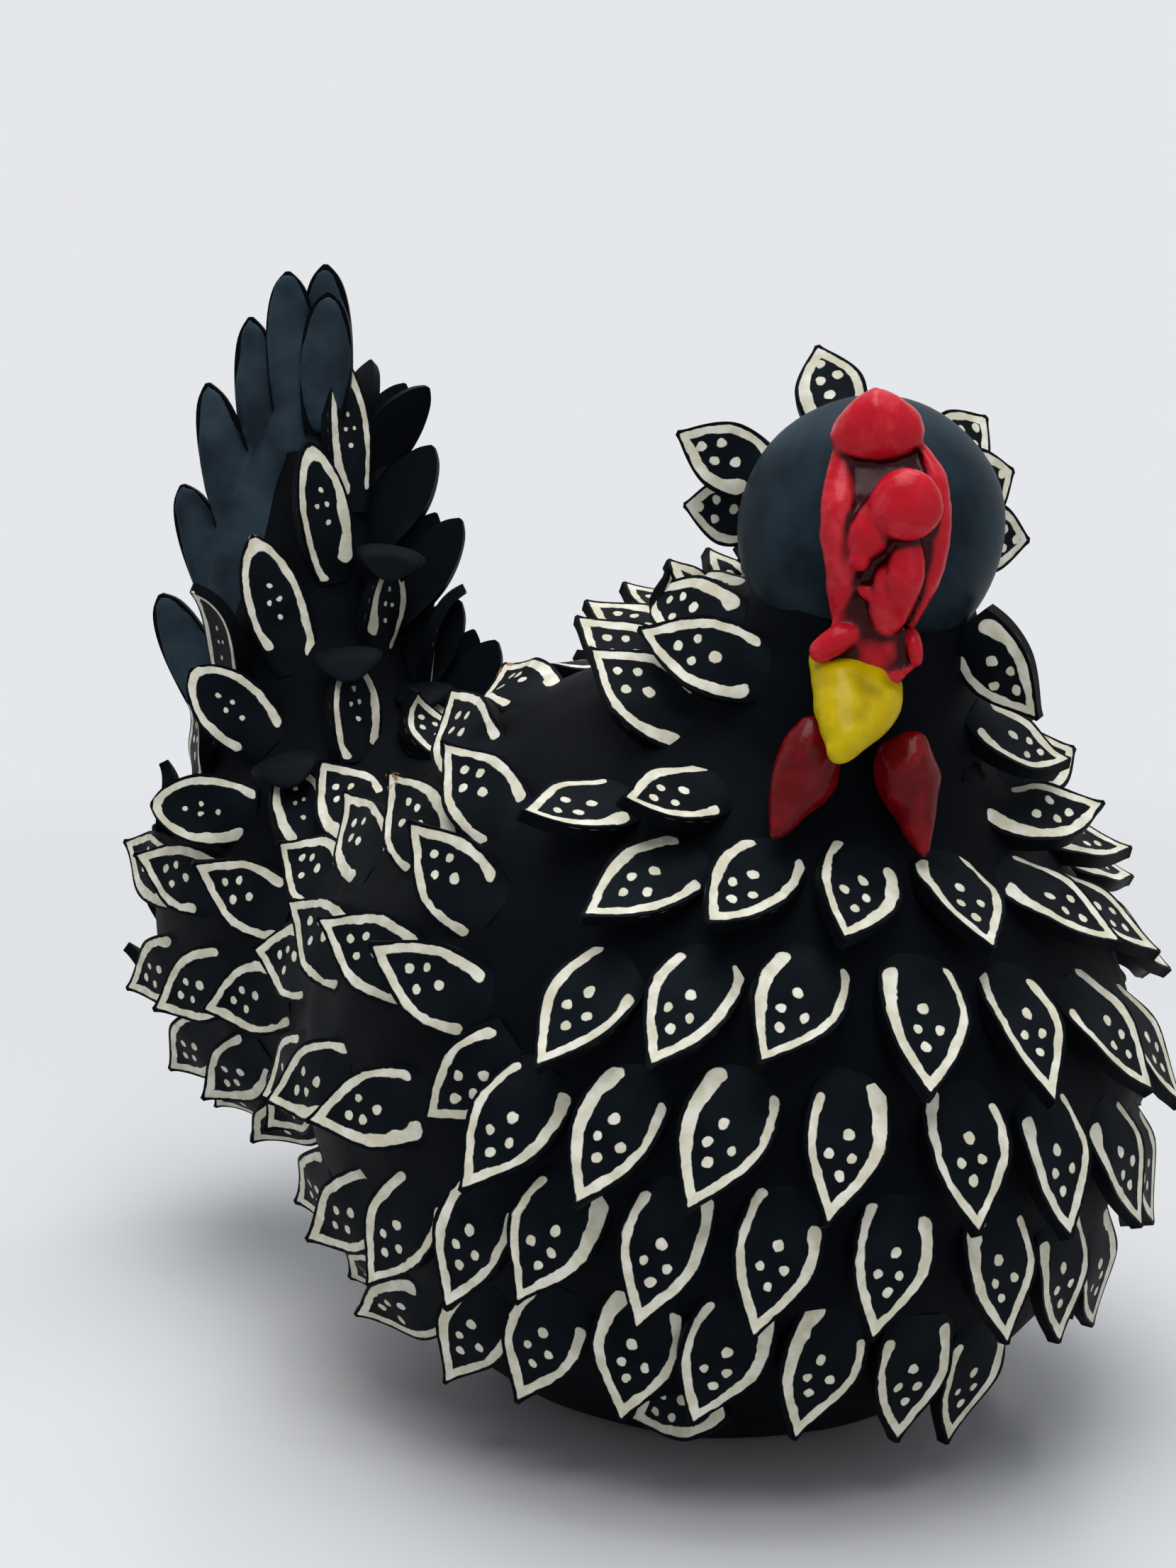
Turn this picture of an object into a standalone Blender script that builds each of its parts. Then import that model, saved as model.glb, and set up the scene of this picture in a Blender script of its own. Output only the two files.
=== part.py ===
"""Hen figurine in matt black fired clay, covered with hand-made leaf feathers.

The hen faces -Y and rests on a flat foot at z = 0.  A hollow clay body carries garlands of
feathers: neck courses round the throat, breast courses round the front, flank courses arching
over the back, rump and tail courses round the rear, and single blades in the tail plume.  The
head is a smooth ball with single crown feathers, a red comb, a yellow beak and two red wattles.
All driving dimensions are in millimetres and degrees.
"""
import math

import bmesh
import bpy
import numpy as np
from mathutils import Matrix, Vector

MM = 0.001
GAP = 0.35

# Body masses: centre and half sizes of the two eggs that make the trunk
BODY_CENTER = (0.0, 0.0, 47.0)
BODY_HALF = (54.0, 60.0, 52.0)
RUMP_CENTER = (0.0, 63.0, 52.0)
RUMP_HALF = (29.0, 48.0, 31.0)
BODY_WALL = 7.0
VENT_Y = 8.0
VENT_RADIUS = 1.8
BLEND = 14.0
# Size of the body mesh's facets, and how deep they lie under the skin so that feathers clear them
FACET = 5.5
SINK = 0.3

# Neck and tail cores: stations of centre and radius, each joined to the next by a cone
NECK = (((0.0, -9.0, 76.0), 36.0), ((-2.0, -23.0, 98.0), 19.0), ((-4.0, -29.0, 112.0), 14.0))
TAIL = (((0.0, 78.0, 66.0), 22.0), ((0.0, 82.0, 100.0), 13.0), ((0.0, 81.0, 128.0), 5.0))
TAIL_FOOT = ((0.0, 76.0, 50.0), 20.0)

# Head group: the face is turned from straight ahead toward the hen's right
HEAD_CENTER = (-4.0, -29.5, 121.0)
HEAD_RADIUS = 16.8
HEAD_TURN = 48.0
# Comb stations: angle above straight ahead, rise off the head, half width and shift to its left
COMB = ((86.0, 0.8, 3.2, 0.0), (76.0, 1.8, 5.2, 0.0), (66.0, 3.2, 6.2, 0.0), (54.0, 4.8, 6.3, 0.0),
        (43.0, 4.0, 6.0, 0.4), (34.0, 4.2, 6.6, 1.6), (22.0, 6.6, 7.2, 2.2), (10.0, 6.2, 7.2, 2.2),
        (-4.0, 4.8, 6.8, 1.8), (-17.0, 4.8, 6.4, 0.8), (-28.0, 5.6, 6.8, -0.2), (-38.0, 6.2, 6.2, -0.8),
        (-44.0, 6.2, 4.2, -1.2))
COMB_SEAT = 0.25
# Comb section: share of the rise and of the half width, from one foot over the top to the other
COMB_SECTION = ((0.0, 0.8), (0.35, 1.0), (0.78, 0.82), (1.0, 0.42), (1.0, -0.42), (0.78, -0.82),
                (0.35, -1.0), (0.0, -0.8))
# Beak: angle of its seat below straight ahead, stand-off there, dip, length, sideways lean of
# the root and of the tip, and its flatness
BEAK_SEAT = -64.0
BEAK_STAND = 3.5
BEAK_DIP = -30.0
BEAK_LENGTH = 16.0
BEAK_ROOT_SHIFT = -2.2
BEAK_TIP_SHIFT = -2.0
BEAK_FLAT = 0.66
BEAK_SHAPE = ((-0.06, 6.6), (0.35, 5.6), (0.72, 3.2), (1.0, 0.9))
# Wattles: sideways and height of the top and of the tip, measured from the head centre
WATTLES = (("wattle_right", (-9.8, -23.0), (-12.8, -38.0)), ("wattle_left", (4.6, -24.5), (6.4, -39.5)))
WATTLE_REACH = 16.0
WATTLE_PUSH = (4.6, 3.8)
WATTLE_SHAPE = ((0.0, 1.8), (0.12, 3.4), (0.34, 4.2), (0.66, 3.2), (0.90, 2.2), (1.0, 1.0))

# Feather form: clay thickness, height of the root strip, and outlines as (along, width) pairs
CLAY = 1.8
STRIP = 3.2
FEATHER = ((0.0, 0.74), (0.36, 1.0), (0.70, 0.76), (1.0, 0.0))
BLADE = ((0.0, 0.62), (0.30, 0.95), (0.62, 1.0), (0.86, 0.66), (1.0, 0.0))

# Direction that the neck and breast feathers hang away from, and the axis of the breast rows
POLE = (-0.10, -0.48, 0.87)
ROW_AXIS = (0.287, 0.241, 0.927)
# How far the flank courses lean back at the top
FLANK_LEAN = 19.0
FLANK_HEIGHT = 50.0
# Half width of the block that cuts the foot flat
FOOT_BLOCK = 200.0

# Courses: name, kind, station, first angle, step, feathers, length, width and tip lift
COURSES = (
    ("neck_course_1", "neck", 105.6, 72.0, 31.0, 9, 11.5, 10.0, 8.5),
    ("neck_course_2", "neck", 97.0, 68.0, 24.0, 11, 12.5, 10.5, 7.5),
    ("collar_course_right", "breast", 62.0, -65.5, 13.5, 2, 12.0, 10.5, 8.0),
    ("collar_course_left", "breast", 61.0, 8.0, 15.0, 4, 13.0, 10.5, 6.5),
    ("breast_course_1", "breast", 72.0, -55.0, 11.6, 11, 15.0, 10.5, 4.8),
    ("breast_course_2", "breast", 86.5, -64.0, 12.5, 13, 15.5, 11.0, 4.8),
    ("breast_course_3", "breast", 101.0, -74.0, 13.2, 13, 15.5, 11.0, 4.8),
    ("breast_course_4", "breast", 115.0, -99.6, 14.6, 13, 15.5, 11.0, 4.8),
    ("breast_course_5", "breast", 131.0, -94.0, 15.8, 7, 15.0, 11.0, 6.0),
    ("flank_course_right", "flank", -10.5, -74.5, 13.5, 3, 15.5, 11.0, 5.5),
    ("flank_course_left", "flank", -10.5, 47.5, 13.5, 3, 15.5, 11.0, 5.5),
    ("flank_course_1", "flank", 2.0, -90.0, 18.0, 11, 15.5, 11.0, 5.5),
    ("flank_course_2", "flank", 19.0, -125.0, 17.5, 15, 15.5, 11.0, 5.5),
    ("flank_course_3", "flank", 37.0, -133.0, 19.0, 15, 15.5, 11.0, 5.5),
    ("rump_course_1", "flank", 54.0, 42.0, 23.0, 13, 15.0, 11.0, 5.5),
    ("rump_course_2", "flank", 69.0, 48.0, 25.0, 11, 15.0, 11.0, 5.5),
    ("rump_course_3", "flank", 84.0, 62.0, 26.2, 10, 14.0, 10.5, 5.5),
    ("rear_course_1", "rear", 37.0, -31.0, 31.0, 3, 14.5, 11.0, 5.0),
    ("rear_course_2", "rear", 50.5, -16.0, 32.0, 2, 14.5, 11.0, 5.0),
    ("rear_course_3", "rear", 64.0, -36.0, 36.0, 3, 14.5, 11.0, 5.0),
    ("rear_course_4", "rear", 76.5, -60.0, 40.0, 4, 14.5, 11.0, 5.0),
    ("tail_course_1", "tail", 89.5, 75.0, 37.0, 8, 19.0, 10.5, 6.0),
    ("tail_course_2", "tail", 98.5, 112.0, 45.0, 6, 19.0, 10.5, 6.0),
    ("tail_course_3", "tail", 108.0, 135.0, 47.0, 5, 20.0, 10.0, 6.5),
    ("tail_course_4", "tail", 115.0, 184.0, 46.0, 4, 19.0, 9.5, 6.8),
    ("tail_course_5", "tail", 123.0, 158.0, 56.0, 4, 20.0, 9.0, 6.0),
)

# Bare blades that make the plume's fan: sideways place of the tip, its height, its place toward
# the face and the blade's lean.  The fan stands square to the way the face looks.
FAN = ((-2.5, 152.9, 2.0, -3.0), (-1.5, 157.4, -2.9, 0.0), (4.1, 156.2, -0.5, 2.0),
       (10.4, 149.3, -2.9, 6.0), (17.0, 139.1, -0.5, 12.0), (21.7, 123.2, -2.9, 20.0),
       (24.8, 106.0, -0.5, 25.0))
FAN_WIDTH = 8.0
FAN_SHORTEST = 8.0

# Crown feathers round the head ball: turn from the top seen from the face, angle back from
# straight ahead, length and backward lean
CROWN = ((-84.0, 118.0, 9.0, 0.60), (-64.0, 108.0, 11.0, 0.30), (-15.0, 118.0, 10.0, 0.80),
         (31.0, 124.0, 9.5, 1.00), (64.0, 122.0, 9.5, 1.00), (95.0, 122.0, 10.0, 1.00))
CROWN_WIDTH = 8.6


# Directions: up, the way the face looks, and the head's left
UP = np.array((0.0, 0.0, 1.0))
AHEAD = np.array((-math.sin(math.radians(HEAD_TURN)), -math.cos(math.radians(HEAD_TURN)), 0.0))
LEFT = np.array((-AHEAD[1], AHEAD[0], 0.0))


# Skin: the smooth surface that every feather is rooted on

def unit(v):
    v = np.asarray(v, float)
    return v / np.linalg.norm(v, axis=-1, keepdims=True)


def egg(p, center, half):
    q = (p - np.array(center)) / np.array(half)
    near = np.linalg.norm(q, axis=-1)
    return near * (near - 1.0) / np.maximum(np.linalg.norm(q / np.array(half), axis=-1), 1e-9)


def cone(p, a, b):
    start, run = np.array(a[0]), np.array(b[0]) - np.array(a[0])
    t = np.clip((p - start) @ run / (run @ run), 0.0, 1.0)
    return np.linalg.norm(p - start - t[..., None] * run, axis=-1) - (a[1] + (b[1] - a[1]) * t)


def blend(a, b, k):
    h = np.maximum(k - np.abs(a - b), 0.0) / k
    return np.minimum(a, b) - h * h * k / 4.0


def skin(p):
    d = blend(egg(p, BODY_CENTER, BODY_HALF), egg(p, RUMP_CENTER, RUMP_HALF), BLEND)
    for run in (NECK, TAIL):
        d = blend(d, np.minimum(cone(p, run[0], run[1]), cone(p, run[1], run[2])), BLEND)
    return d


def normal(p):
    e = 0.05
    g = [skin(p + np.eye(3)[i] * e) - skin(p - np.eye(3)[i] * e) for i in range(3)]
    return unit(np.stack(g, -1))


def settle(p):
    for _ in range(4):
        p = p - normal(p) * skin(p)[..., None]
    return p


def cast(origin, rays):
    """First point where each ray from inside leaves the skin."""
    t = np.arange(2.0, 140.0, 1.0)
    outside = np.stack([skin(origin + rays * x) > 0.0 for x in t])
    first = np.argmax(outside, 0)
    low, high = t[np.maximum(first - 1, 0)], t[first]
    for _ in range(14):
        mid = (low + high) / 2.0
        out = skin(origin + rays * mid[..., None]) > 0.0
        high, low = np.where(out, mid, high), np.where(out, low, mid)
    return origin + rays * high[..., None]


# Courses

def flow(kind, p):
    """Direction in which the feathers of a course lie at the points p."""
    if kind == "breast":
        v = np.broadcast_to(-unit(POLE), p.shape)
    elif kind == "neck":
        fall = np.clip((-22.0 - p[..., 1]) / 14.0, 0.0, 0.9)
        v = np.stack([np.zeros_like(fall), np.ones_like(fall), -fall], -1)
    elif kind in ("tail", "rear"):
        v = np.broadcast_to(UP, p.shape)
    else:
        rise = np.clip((p[..., 2] - 57.0) / 25.0, -0.6, 0.9)
        v = np.stack([np.zeros_like(rise), np.ones_like(rise), rise], -1)
    n = normal(p)
    return unit(v - n * np.sum(v * n, -1, keepdims=True))


def course_frame(kind, station):
    """Centre, axis, zero direction and polar angle of a course."""
    if kind == "breast":
        axis = unit(ROW_AXIS)
        zero = unit(np.cross(np.cross(axis, (0.0, -1.0, 0.0)), axis))
        return np.array(BODY_CENTER), axis, zero, station
    if kind == "neck":
        axis = unit(POLE)
        low, high = np.array(NECK[0][0]), np.array(NECK[2][0])
        center = low + (high - low) * (station - low[2]) / (high[2] - low[2])
        return center, axis, unit(np.cross(np.cross(axis, AHEAD), axis)), 90.0
    if kind in ("tail", "rear"):
        return tail_middle(station), UP, np.array((0.0, 1.0, 0.0)), 90.0
    lean = math.radians(FLANK_LEAN)
    center = np.array((0.0, station, FLANK_HEIGHT))
    axis = np.array((0.0, math.cos(lean), -math.sin(lean)))
    return center, axis, np.array((0.0, math.sin(lean), math.cos(lean))), 90.0


def tail_middle(height):
    """Point of the tail core's line at a height, an array of heights or one number."""
    low, mid, high = (np.array(c) for c, r in TAIL)
    y = np.interp(height, (low[2], mid[2], high[2]), (low[1], mid[1], high[1]))
    return np.stack([np.zeros_like(y), y, np.asarray(height, float)], -1)


def ring(kind, station, angles):
    center, axis, zero, polar = course_frame(kind, station)
    across = np.cross(axis, zero)
    a, b = np.radians(angles), math.radians(polar)
    around = np.cos(a)[:, None] * zero + np.sin(a)[:, None] * across
    return cast(center, math.cos(b) * axis + math.sin(b) * around)


def clear_height(points):
    """Height that keeps the chords between neighbouring points off the skin."""
    dip = skin((points[1:] + points[:-1]) / 2.0).min()
    return GAP + max(0.0, -float(dip)) + 0.1


def garland(name, kind, station, first, step, count, length, width, lift):
    """One course: a root strip on the skin with a leaf feather growing from it at each step."""
    middle = first + step * np.arange(count)
    half = step * 0.5
    centers = ring(kind, station, middle)
    gauge = np.linalg.norm(ring(kind, station, middle + 1.0) - centers, axis=1)
    root = np.minimum(width * FEATHER[0][1] / 2.0 / gauge, half * 0.86)
    angles = np.stack([middle - root, middle + root], 1).ravel()
    closed = abs(step * count - 360.0) < 1.0
    line = ring(kind, station, angles)
    base = clear_height(line)
    top = settle(line - flow(kind, line) * STRIP)
    base = max(base, clear_height(top))

    sheet = bmesh.new()
    lower = [sheet.verts.new(p) for p in line + normal(line) * base]
    upper = [sheet.verts.new(p) for p in top + normal(top) * base]
    last = 2 * count if closed else 2 * count - 1
    for i in range(last):
        j = (i + 1) % (2 * count)
        sheet.faces.new((upper[i], lower[i], lower[j], upper[j]))

    point, along = centers, 0.0
    n, d = normal(point), flow(kind, point)
    power = 1.5
    if kind == "tail":
        d = np.broadcast_to(UP, point.shape)
        n, power = unit(point - tail_middle(point[:, 2])), 1.0
    edge = [(lower[2 * i], lower[2 * i + 1]) for i in range(count)]
    for s, w in FEATHER[1:]:
        if kind == "tail":
            point = centers + d * s * length
        else:
            point = settle(point + d * (s - along) * length)
            n, d = normal(point), flow(kind, point)
        along = s
        side = np.cross(n, d)
        if np.sum((line[1::2] - line[::2]) * side) > 0.0:
            side = -side
        high = point + n * (base + lift * s ** power)
        if w == 0.0:
            for i in range(count):
                sheet.faces.new((edge[i][0], sheet.verts.new(high[i]), edge[i][1]))
            break
        for i in range(count):
            arms = np.stack([high[i] + side[i] * width * w / 2.0, high[i] - side[i] * width * w / 2.0])
            arms = arms + n[i] * np.maximum(base - skin(arms), 0.0)[:, None]
            a, b = (sheet.verts.new(v) for v in arms)
            sheet.faces.new((edge[i][0], a, b, edge[i][1]))
            edge[i] = (a, b)
    return finish_sheet(name, sheet, CLAY)


def finish_sheet(name, sheet, thickness):
    """Give an open sheet its clay thickness on the outer side and return the object."""
    sheet.normal_update()
    sheet.faces.ensure_lookup_table()
    first = sheet.faces[0]
    if np.dot(first.normal, normal(np.array(first.calc_center_median()))) < 0.0:
        for face in sheet.faces:
            face.normal_flip()
    obj = add_object(name, sheet)
    shell = obj.modifiers.new("clay thickness", "SOLIDIFY")
    shell.thickness = thickness * MM
    shell.offset = 1.0
    return obj


def blade(name, root, along, out, length, width, outline):
    """A single leaf feather: root point, direction, outward direction and size."""
    side = np.cross(out, along)
    sheet = bmesh.new()
    last = None
    for s, w in outline:
        spot = root + along * s * length + out * 1.2 * s * s
        if w == 0.0:
            sheet.faces.new((last[0], sheet.verts.new(spot), last[1]))
            break
        edge = [sheet.verts.new(spot + side * width * w * h) for h in (0.5, -0.5)]
        if last:
            sheet.faces.new((last[0], edge[0], edge[1], last[1]))
        last = edge
    sheet.normal_update()
    sheet.faces.ensure_lookup_table()
    if Vector(out).dot(sheet.faces[0].normal) < 0.0:
        for face in sheet.faces:
            face.normal_flip()
    obj = add_object(name, sheet)
    shell = obj.modifiers.new("clay thickness", "SOLIDIFY")
    shell.thickness = CLAY * MM
    shell.offset = 1.0
    return obj


def add_object(name, sheet, collection=None):
    sheet.transform(Matrix.Scale(MM, 4))
    mesh = bpy.data.meshes.new(name)
    sheet.to_mesh(mesh)
    sheet.free()
    obj = bpy.data.objects.new(name, mesh)
    (collection or HEN).objects.link(obj)
    return obj


def loft(name, loops, collection=None):
    """Closed body through a list of equal loops of points, capped at both ends."""
    solid = bmesh.new()
    rings = [[solid.verts.new(p) for p in loop] for loop in loops]
    for a, b in zip(rings[:-1], rings[1:]):
        for i in range(len(a)):
            j = (i + 1) % len(a)
            solid.faces.new((a[i], a[j], b[j], b[i]))
    solid.faces.new(tuple(reversed(rings[0])))
    solid.faces.new(tuple(rings[-1]))
    bmesh.ops.recalc_face_normals(solid, faces=solid.faces[:])
    return add_object(name, solid, collection)


def lathe(name, start, end, shape, steps, wide=(0.3, 0.9, 0.1), flat=1.0, collection=None):
    """Round body on the line from start to end; shape holds (along, radius) pairs.

    wide is the direction of the full radius, and flat the share of it across that direction.
    """
    start, end = np.array(start, float), np.array(end, float)
    axis = unit(end - start)
    v = unit(np.cross(axis, wide))
    u = np.cross(v, axis)
    turn = np.arange(steps) * 2.0 * math.pi / steps
    loops = [[start + (end - start) * s + r * (math.cos(t) * u + flat * math.sin(t) * v) for t in turn]
             for s, r in shape]
    return loft(name, loops, collection)


def ball(name, center, half, steps, rings, collection=None):
    sphere = bmesh.new()
    bmesh.ops.create_uvsphere(sphere, u_segments=steps, v_segments=rings, radius=1.0)
    sphere.transform(Matrix.LocRotScale(Vector(center), None, Vector(half)))
    return add_object(name, sphere, collection)


def boolean(target, tool, operation):
    cut = target.modifiers.new(operation.lower() + " " + tool.name, "BOOLEAN")
    cut.operation = operation
    cut.solver = "EXACT"
    cut.object = tool


def station_loft(name, run, steps, collection):
    """Loft through circles that stand square to the line of a neck or tail core."""
    turn = np.arange(steps) * 2.0 * math.pi / steps
    centers = np.array([c for c, r in run])
    loops = []
    for k, (center, radius) in enumerate(run):
        axis = unit(centers[min(k + 1, len(run) - 1)] - centers[max(k - 1, 0)])
        u = unit(np.cross((0.0, 1.0, 0.0), axis))
        v = np.cross(axis, u)
        loops.append([center + radius * (math.cos(t) * u + math.sin(t) * v) for t in turn])
    return loft(name, loops, collection)


def settle_mesh(obj):
    """Give an object its evaluated mesh, with every point moved to just under the skin."""
    bpy.context.view_layer.update()
    shape = obj.evaluated_get(bpy.context.evaluated_depsgraph_get())
    mesh = bpy.data.meshes.new_from_object(shape)
    points = np.array([v.co for v in mesh.vertices]) / MM
    points = settle(settle(points))
    points = points - normal(points) * SINK
    mesh.vertices.foreach_set("co", (points * MM).ravel())
    obj.modifiers.clear()
    obj.data = mesh


def build_body():
    """Hollow trunk with its neck and tail cores, a flat foot, a vent and a seat for the head."""
    body = ball("body", BODY_CENTER, BODY_HALF, 28, 16)
    rump = ball("rump_core", RUMP_CENTER, RUMP_HALF, 20, 12, CUTTERS)
    neck = station_loft("neck_core", NECK, 20, CUTTERS)
    tail = station_loft("tail_core", (TAIL_FOOT,) + TAIL, 16, CUTTERS)
    for tool in (rump, neck, tail):
        boolean(body, tool, "UNION")
    facets = body.modifiers.new("even facets", "REMESH")
    facets.mode = "VOXEL"
    facets.voxel_size = FACET * MM
    settle_mesh(body)

    hollow = ball("hollow", BODY_CENTER, [h - BODY_WALL for h in BODY_HALF], 20, 12, CUTTERS)
    behind = (0.0, RUMP_CENTER[1] - BODY_WALL, RUMP_CENTER[2])
    rear = ball("rear_hollow", behind, [h - BODY_WALL for h in RUMP_HALF], 16, 10, CUTTERS)
    boolean(hollow, rear, "UNION")
    boolean(body, hollow, "DIFFERENCE")
    below = FOOT_BLOCK * -0.3
    square = ((-1, -1), (1, -1), (1, 1), (-1, 1))
    foot = loft("foot_plane", [[(x * FOOT_BLOCK, y * FOOT_BLOCK, z) for x, y in square] for z in (below, 0.0)],
                CUTTERS)
    boolean(body, foot, "DIFFERENCE")
    ends = [(0.0, VENT_Y, BODY_WALL * t) for t in (-0.7, 2.9)]
    vent = lathe("vent", ends[0], ends[1], ((0.0, VENT_RADIUS), (1.0, VENT_RADIUS)), 12, collection=CUTTERS)
    boolean(body, vent, "DIFFERENCE")
    seat = ball("head_seat", HEAD_CENTER, [HEAD_RADIUS + GAP] * 3, 24, 14, CUTTERS)
    boolean(body, seat, "DIFFERENCE")
    root, tip = beak_line()
    room = [(-0.30, BEAK_SHAPE[0][1] + GAP)] + [(a, r + GAP + 0.1) for a, r in BEAK_SHAPE] + [(1.06, 1.0)]
    pocket = lathe("beak_pocket", root, tip, room, 14, LEFT, BEAK_FLAT + 0.08, CUTTERS)
    boolean(body, pocket, "DIFFERENCE")


def head_point(angle, radius, shift=0.0):
    """Point in the face plane: angle above straight ahead, distance from the head centre, shift."""
    a = math.radians(angle)
    return np.array(HEAD_CENTER) + radius * (math.cos(a) * AHEAD + math.sin(a) * UP) + LEFT * shift


def beak_line():
    """Root and tip of the beak, leaning to the hen's right as the comb's foot does."""
    root = head_point(BEAK_SEAT, HEAD_RADIUS + GAP + BEAK_STAND, BEAK_ROOT_SHIFT)
    return root, root + head_point(BEAK_DIP, BEAK_LENGTH, BEAK_TIP_SHIFT) - np.array(HEAD_CENTER)


def build_head():
    """Head ball with its comb, beak and wattles."""
    ball("head", HEAD_CENTER, [HEAD_RADIUS] * 3, 24, 14)
    loops = []
    for angle, rise, half, shift in COMB:
        inner = HEAD_RADIUS + GAP + COMB_SEAT
        sides = (shift - half, shift, shift + half)
        while min(skin(head_point(angle, inner, side)) for side in sides) < GAP:
            inner += 0.1
        rise += HEAD_RADIUS + GAP + COMB_SEAT - inner
        loops.append([head_point(angle, inner + rise * r, shift + half * w) for r, w in COMB_SECTION])
    loft("comb", loops)
    root, tip = beak_line()
    lathe("beak", root, tip, BEAK_SHAPE, 14, LEFT, BEAK_FLAT)
    for name, top, low in WATTLES:
        ends = []
        for (shift, height), push in zip((top, low), WATTLE_PUSH):
            spot = settle(head_point(0.0, WATTLE_REACH, shift) + UP * height)
            ends.append(spot + normal(spot) * (push + GAP))
        lathe(name, ends[0], ends[1], WATTLE_SHAPE, 12)


def foot_points(side, face, width, outline):
    """Points over the foot of a blade, from its root's middle: across the width and the clay."""
    half = width * outline[0][1] / 2.0
    return [side * a * half + face * b * CLAY for a in (-1.0, -0.5, 0.0, 0.5, 1.0) for b in (0.0, 0.5, 1.0)]


def build_crown():
    """Feathers standing out from behind the face, their painted sides toward the front."""
    center = np.array(HEAD_CENTER)
    for k, (turn, polar, length, lean) in enumerate(CROWN):
        t, p = math.radians(turn), math.radians(polar)
        radial = math.cos(t) * UP + math.sin(t) * LEFT
        out = math.cos(p) * AHEAD + math.sin(p) * radial
        along = unit(radial - lean * AHEAD)
        face = unit(AHEAD - along * np.dot(AHEAD, along))
        foot = foot_points(np.cross(face, along), -face, CROWN_WIDTH, FEATHER)
        reach = HEAD_RADIUS
        while min(np.linalg.norm(out * reach + f) for f in foot) < HEAD_RADIUS + GAP:
            reach += 0.02
        root = center + out * reach - face * CLAY
        blade("crown_feather_%d" % (k + 1), root, along, face, length, CROWN_WIDTH, FEATHER)


def build_fan():
    """Bare blades of the plume, each reaching down from its tip to its seat on the tail core."""
    for k, (across, height, ahead, lean) in enumerate(FAN):
        tip = tail_middle(height) - LEFT * across + AHEAD * ahead
        a = math.radians(lean)
        along = math.cos(a) * UP - math.sin(a) * LEFT
        foot = np.array(foot_points(np.cross(-AHEAD, along), -AHEAD, FAN_WIDTH, BLADE))
        length = FAN_SHORTEST
        while skin(tip - along * length + foot).min() > GAP + 0.1:
            length += 0.1
        blade("tail_blade_%d" % (k + 1), tip - along * length, along, -AHEAD, length, FAN_WIDTH, BLADE)


def material(name, color, roughness, coat=0.0):
    mat = bpy.data.materials.new(name)
    mat.use_nodes = True
    shader = mat.node_tree.nodes["Principled BSDF"]
    shader.inputs["Base Color"].default_value = (*color, 1.0)
    shader.inputs["Roughness"].default_value = roughness
    shader.inputs["Coat Weight"].default_value = coat
    return mat


def dress():
    finishes = (("comb", (0.55, 0.03, 0.06), 0.25, 0.6), ("wattle", (0.35, 0.01, 0.02), 0.25, 0.6),
                ("beak", (0.70, 0.55, 0.0), 0.35, 0.3), ("head", (0.006, 0.008, 0.011), 0.6, 0.0))
    for obj in HEN.objects:
        color, rough, coat = next((f[1:] for f in finishes if obj.name.startswith(f[0])),
                                  ((0.008, 0.010, 0.013), 0.75, 0.0))
        obj.data.materials.append(material(obj.name, color, rough, coat))


def center_on_origin():
    """Move the whole hen so that the middle of its box stands over the origin."""
    graph = bpy.context.evaluated_depsgraph_get()
    low, high = np.full(3, 1e9), np.full(3, -1e9)
    for obj in HEN.objects:
        shape = obj.evaluated_get(graph).to_mesh()
        points = np.array([v.co for v in shape.vertices])
        low, high = np.minimum(low, points.min(0)), np.maximum(high, points.max(0))
    shift = Vector((-(low[0] + high[0]) / 2.0, -(low[1] + high[1]) / 2.0, -low[2]))
    for obj in list(HEN.objects) + list(CUTTERS.objects):
        obj.data.transform(Matrix.Translation(shift))


for old in list(bpy.data.objects):
    bpy.data.objects.remove(old, do_unlink=True)
HEN = bpy.data.collections.new("hen_figurine")
CUTTERS = bpy.data.collections.new("cutters")
for group in (HEN, CUTTERS):
    bpy.context.scene.collection.children.link(group)
build_body()
build_head()
build_crown()
for course in COURSES:
    garland(*course)
build_fan()
for tool in CUTTERS.objects:
    tool.hide_render = True
    tool.display_type = "WIRE"
dress()
center_on_origin()
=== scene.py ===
"""Looks of a hand-built clay hen: black painted leaf feathers with cream lines and dots,
a smooth black head, a glossy red comb and wattles and a yellow beak.

Sizes are in millimetres in the maker's frame, where the hen's trunk stands over the origin, and
are moved to the frame by where the head lies there.
"""
import math

import bpy
import numpy as np
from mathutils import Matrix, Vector
from mathutils import noise as clay_noise


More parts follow.
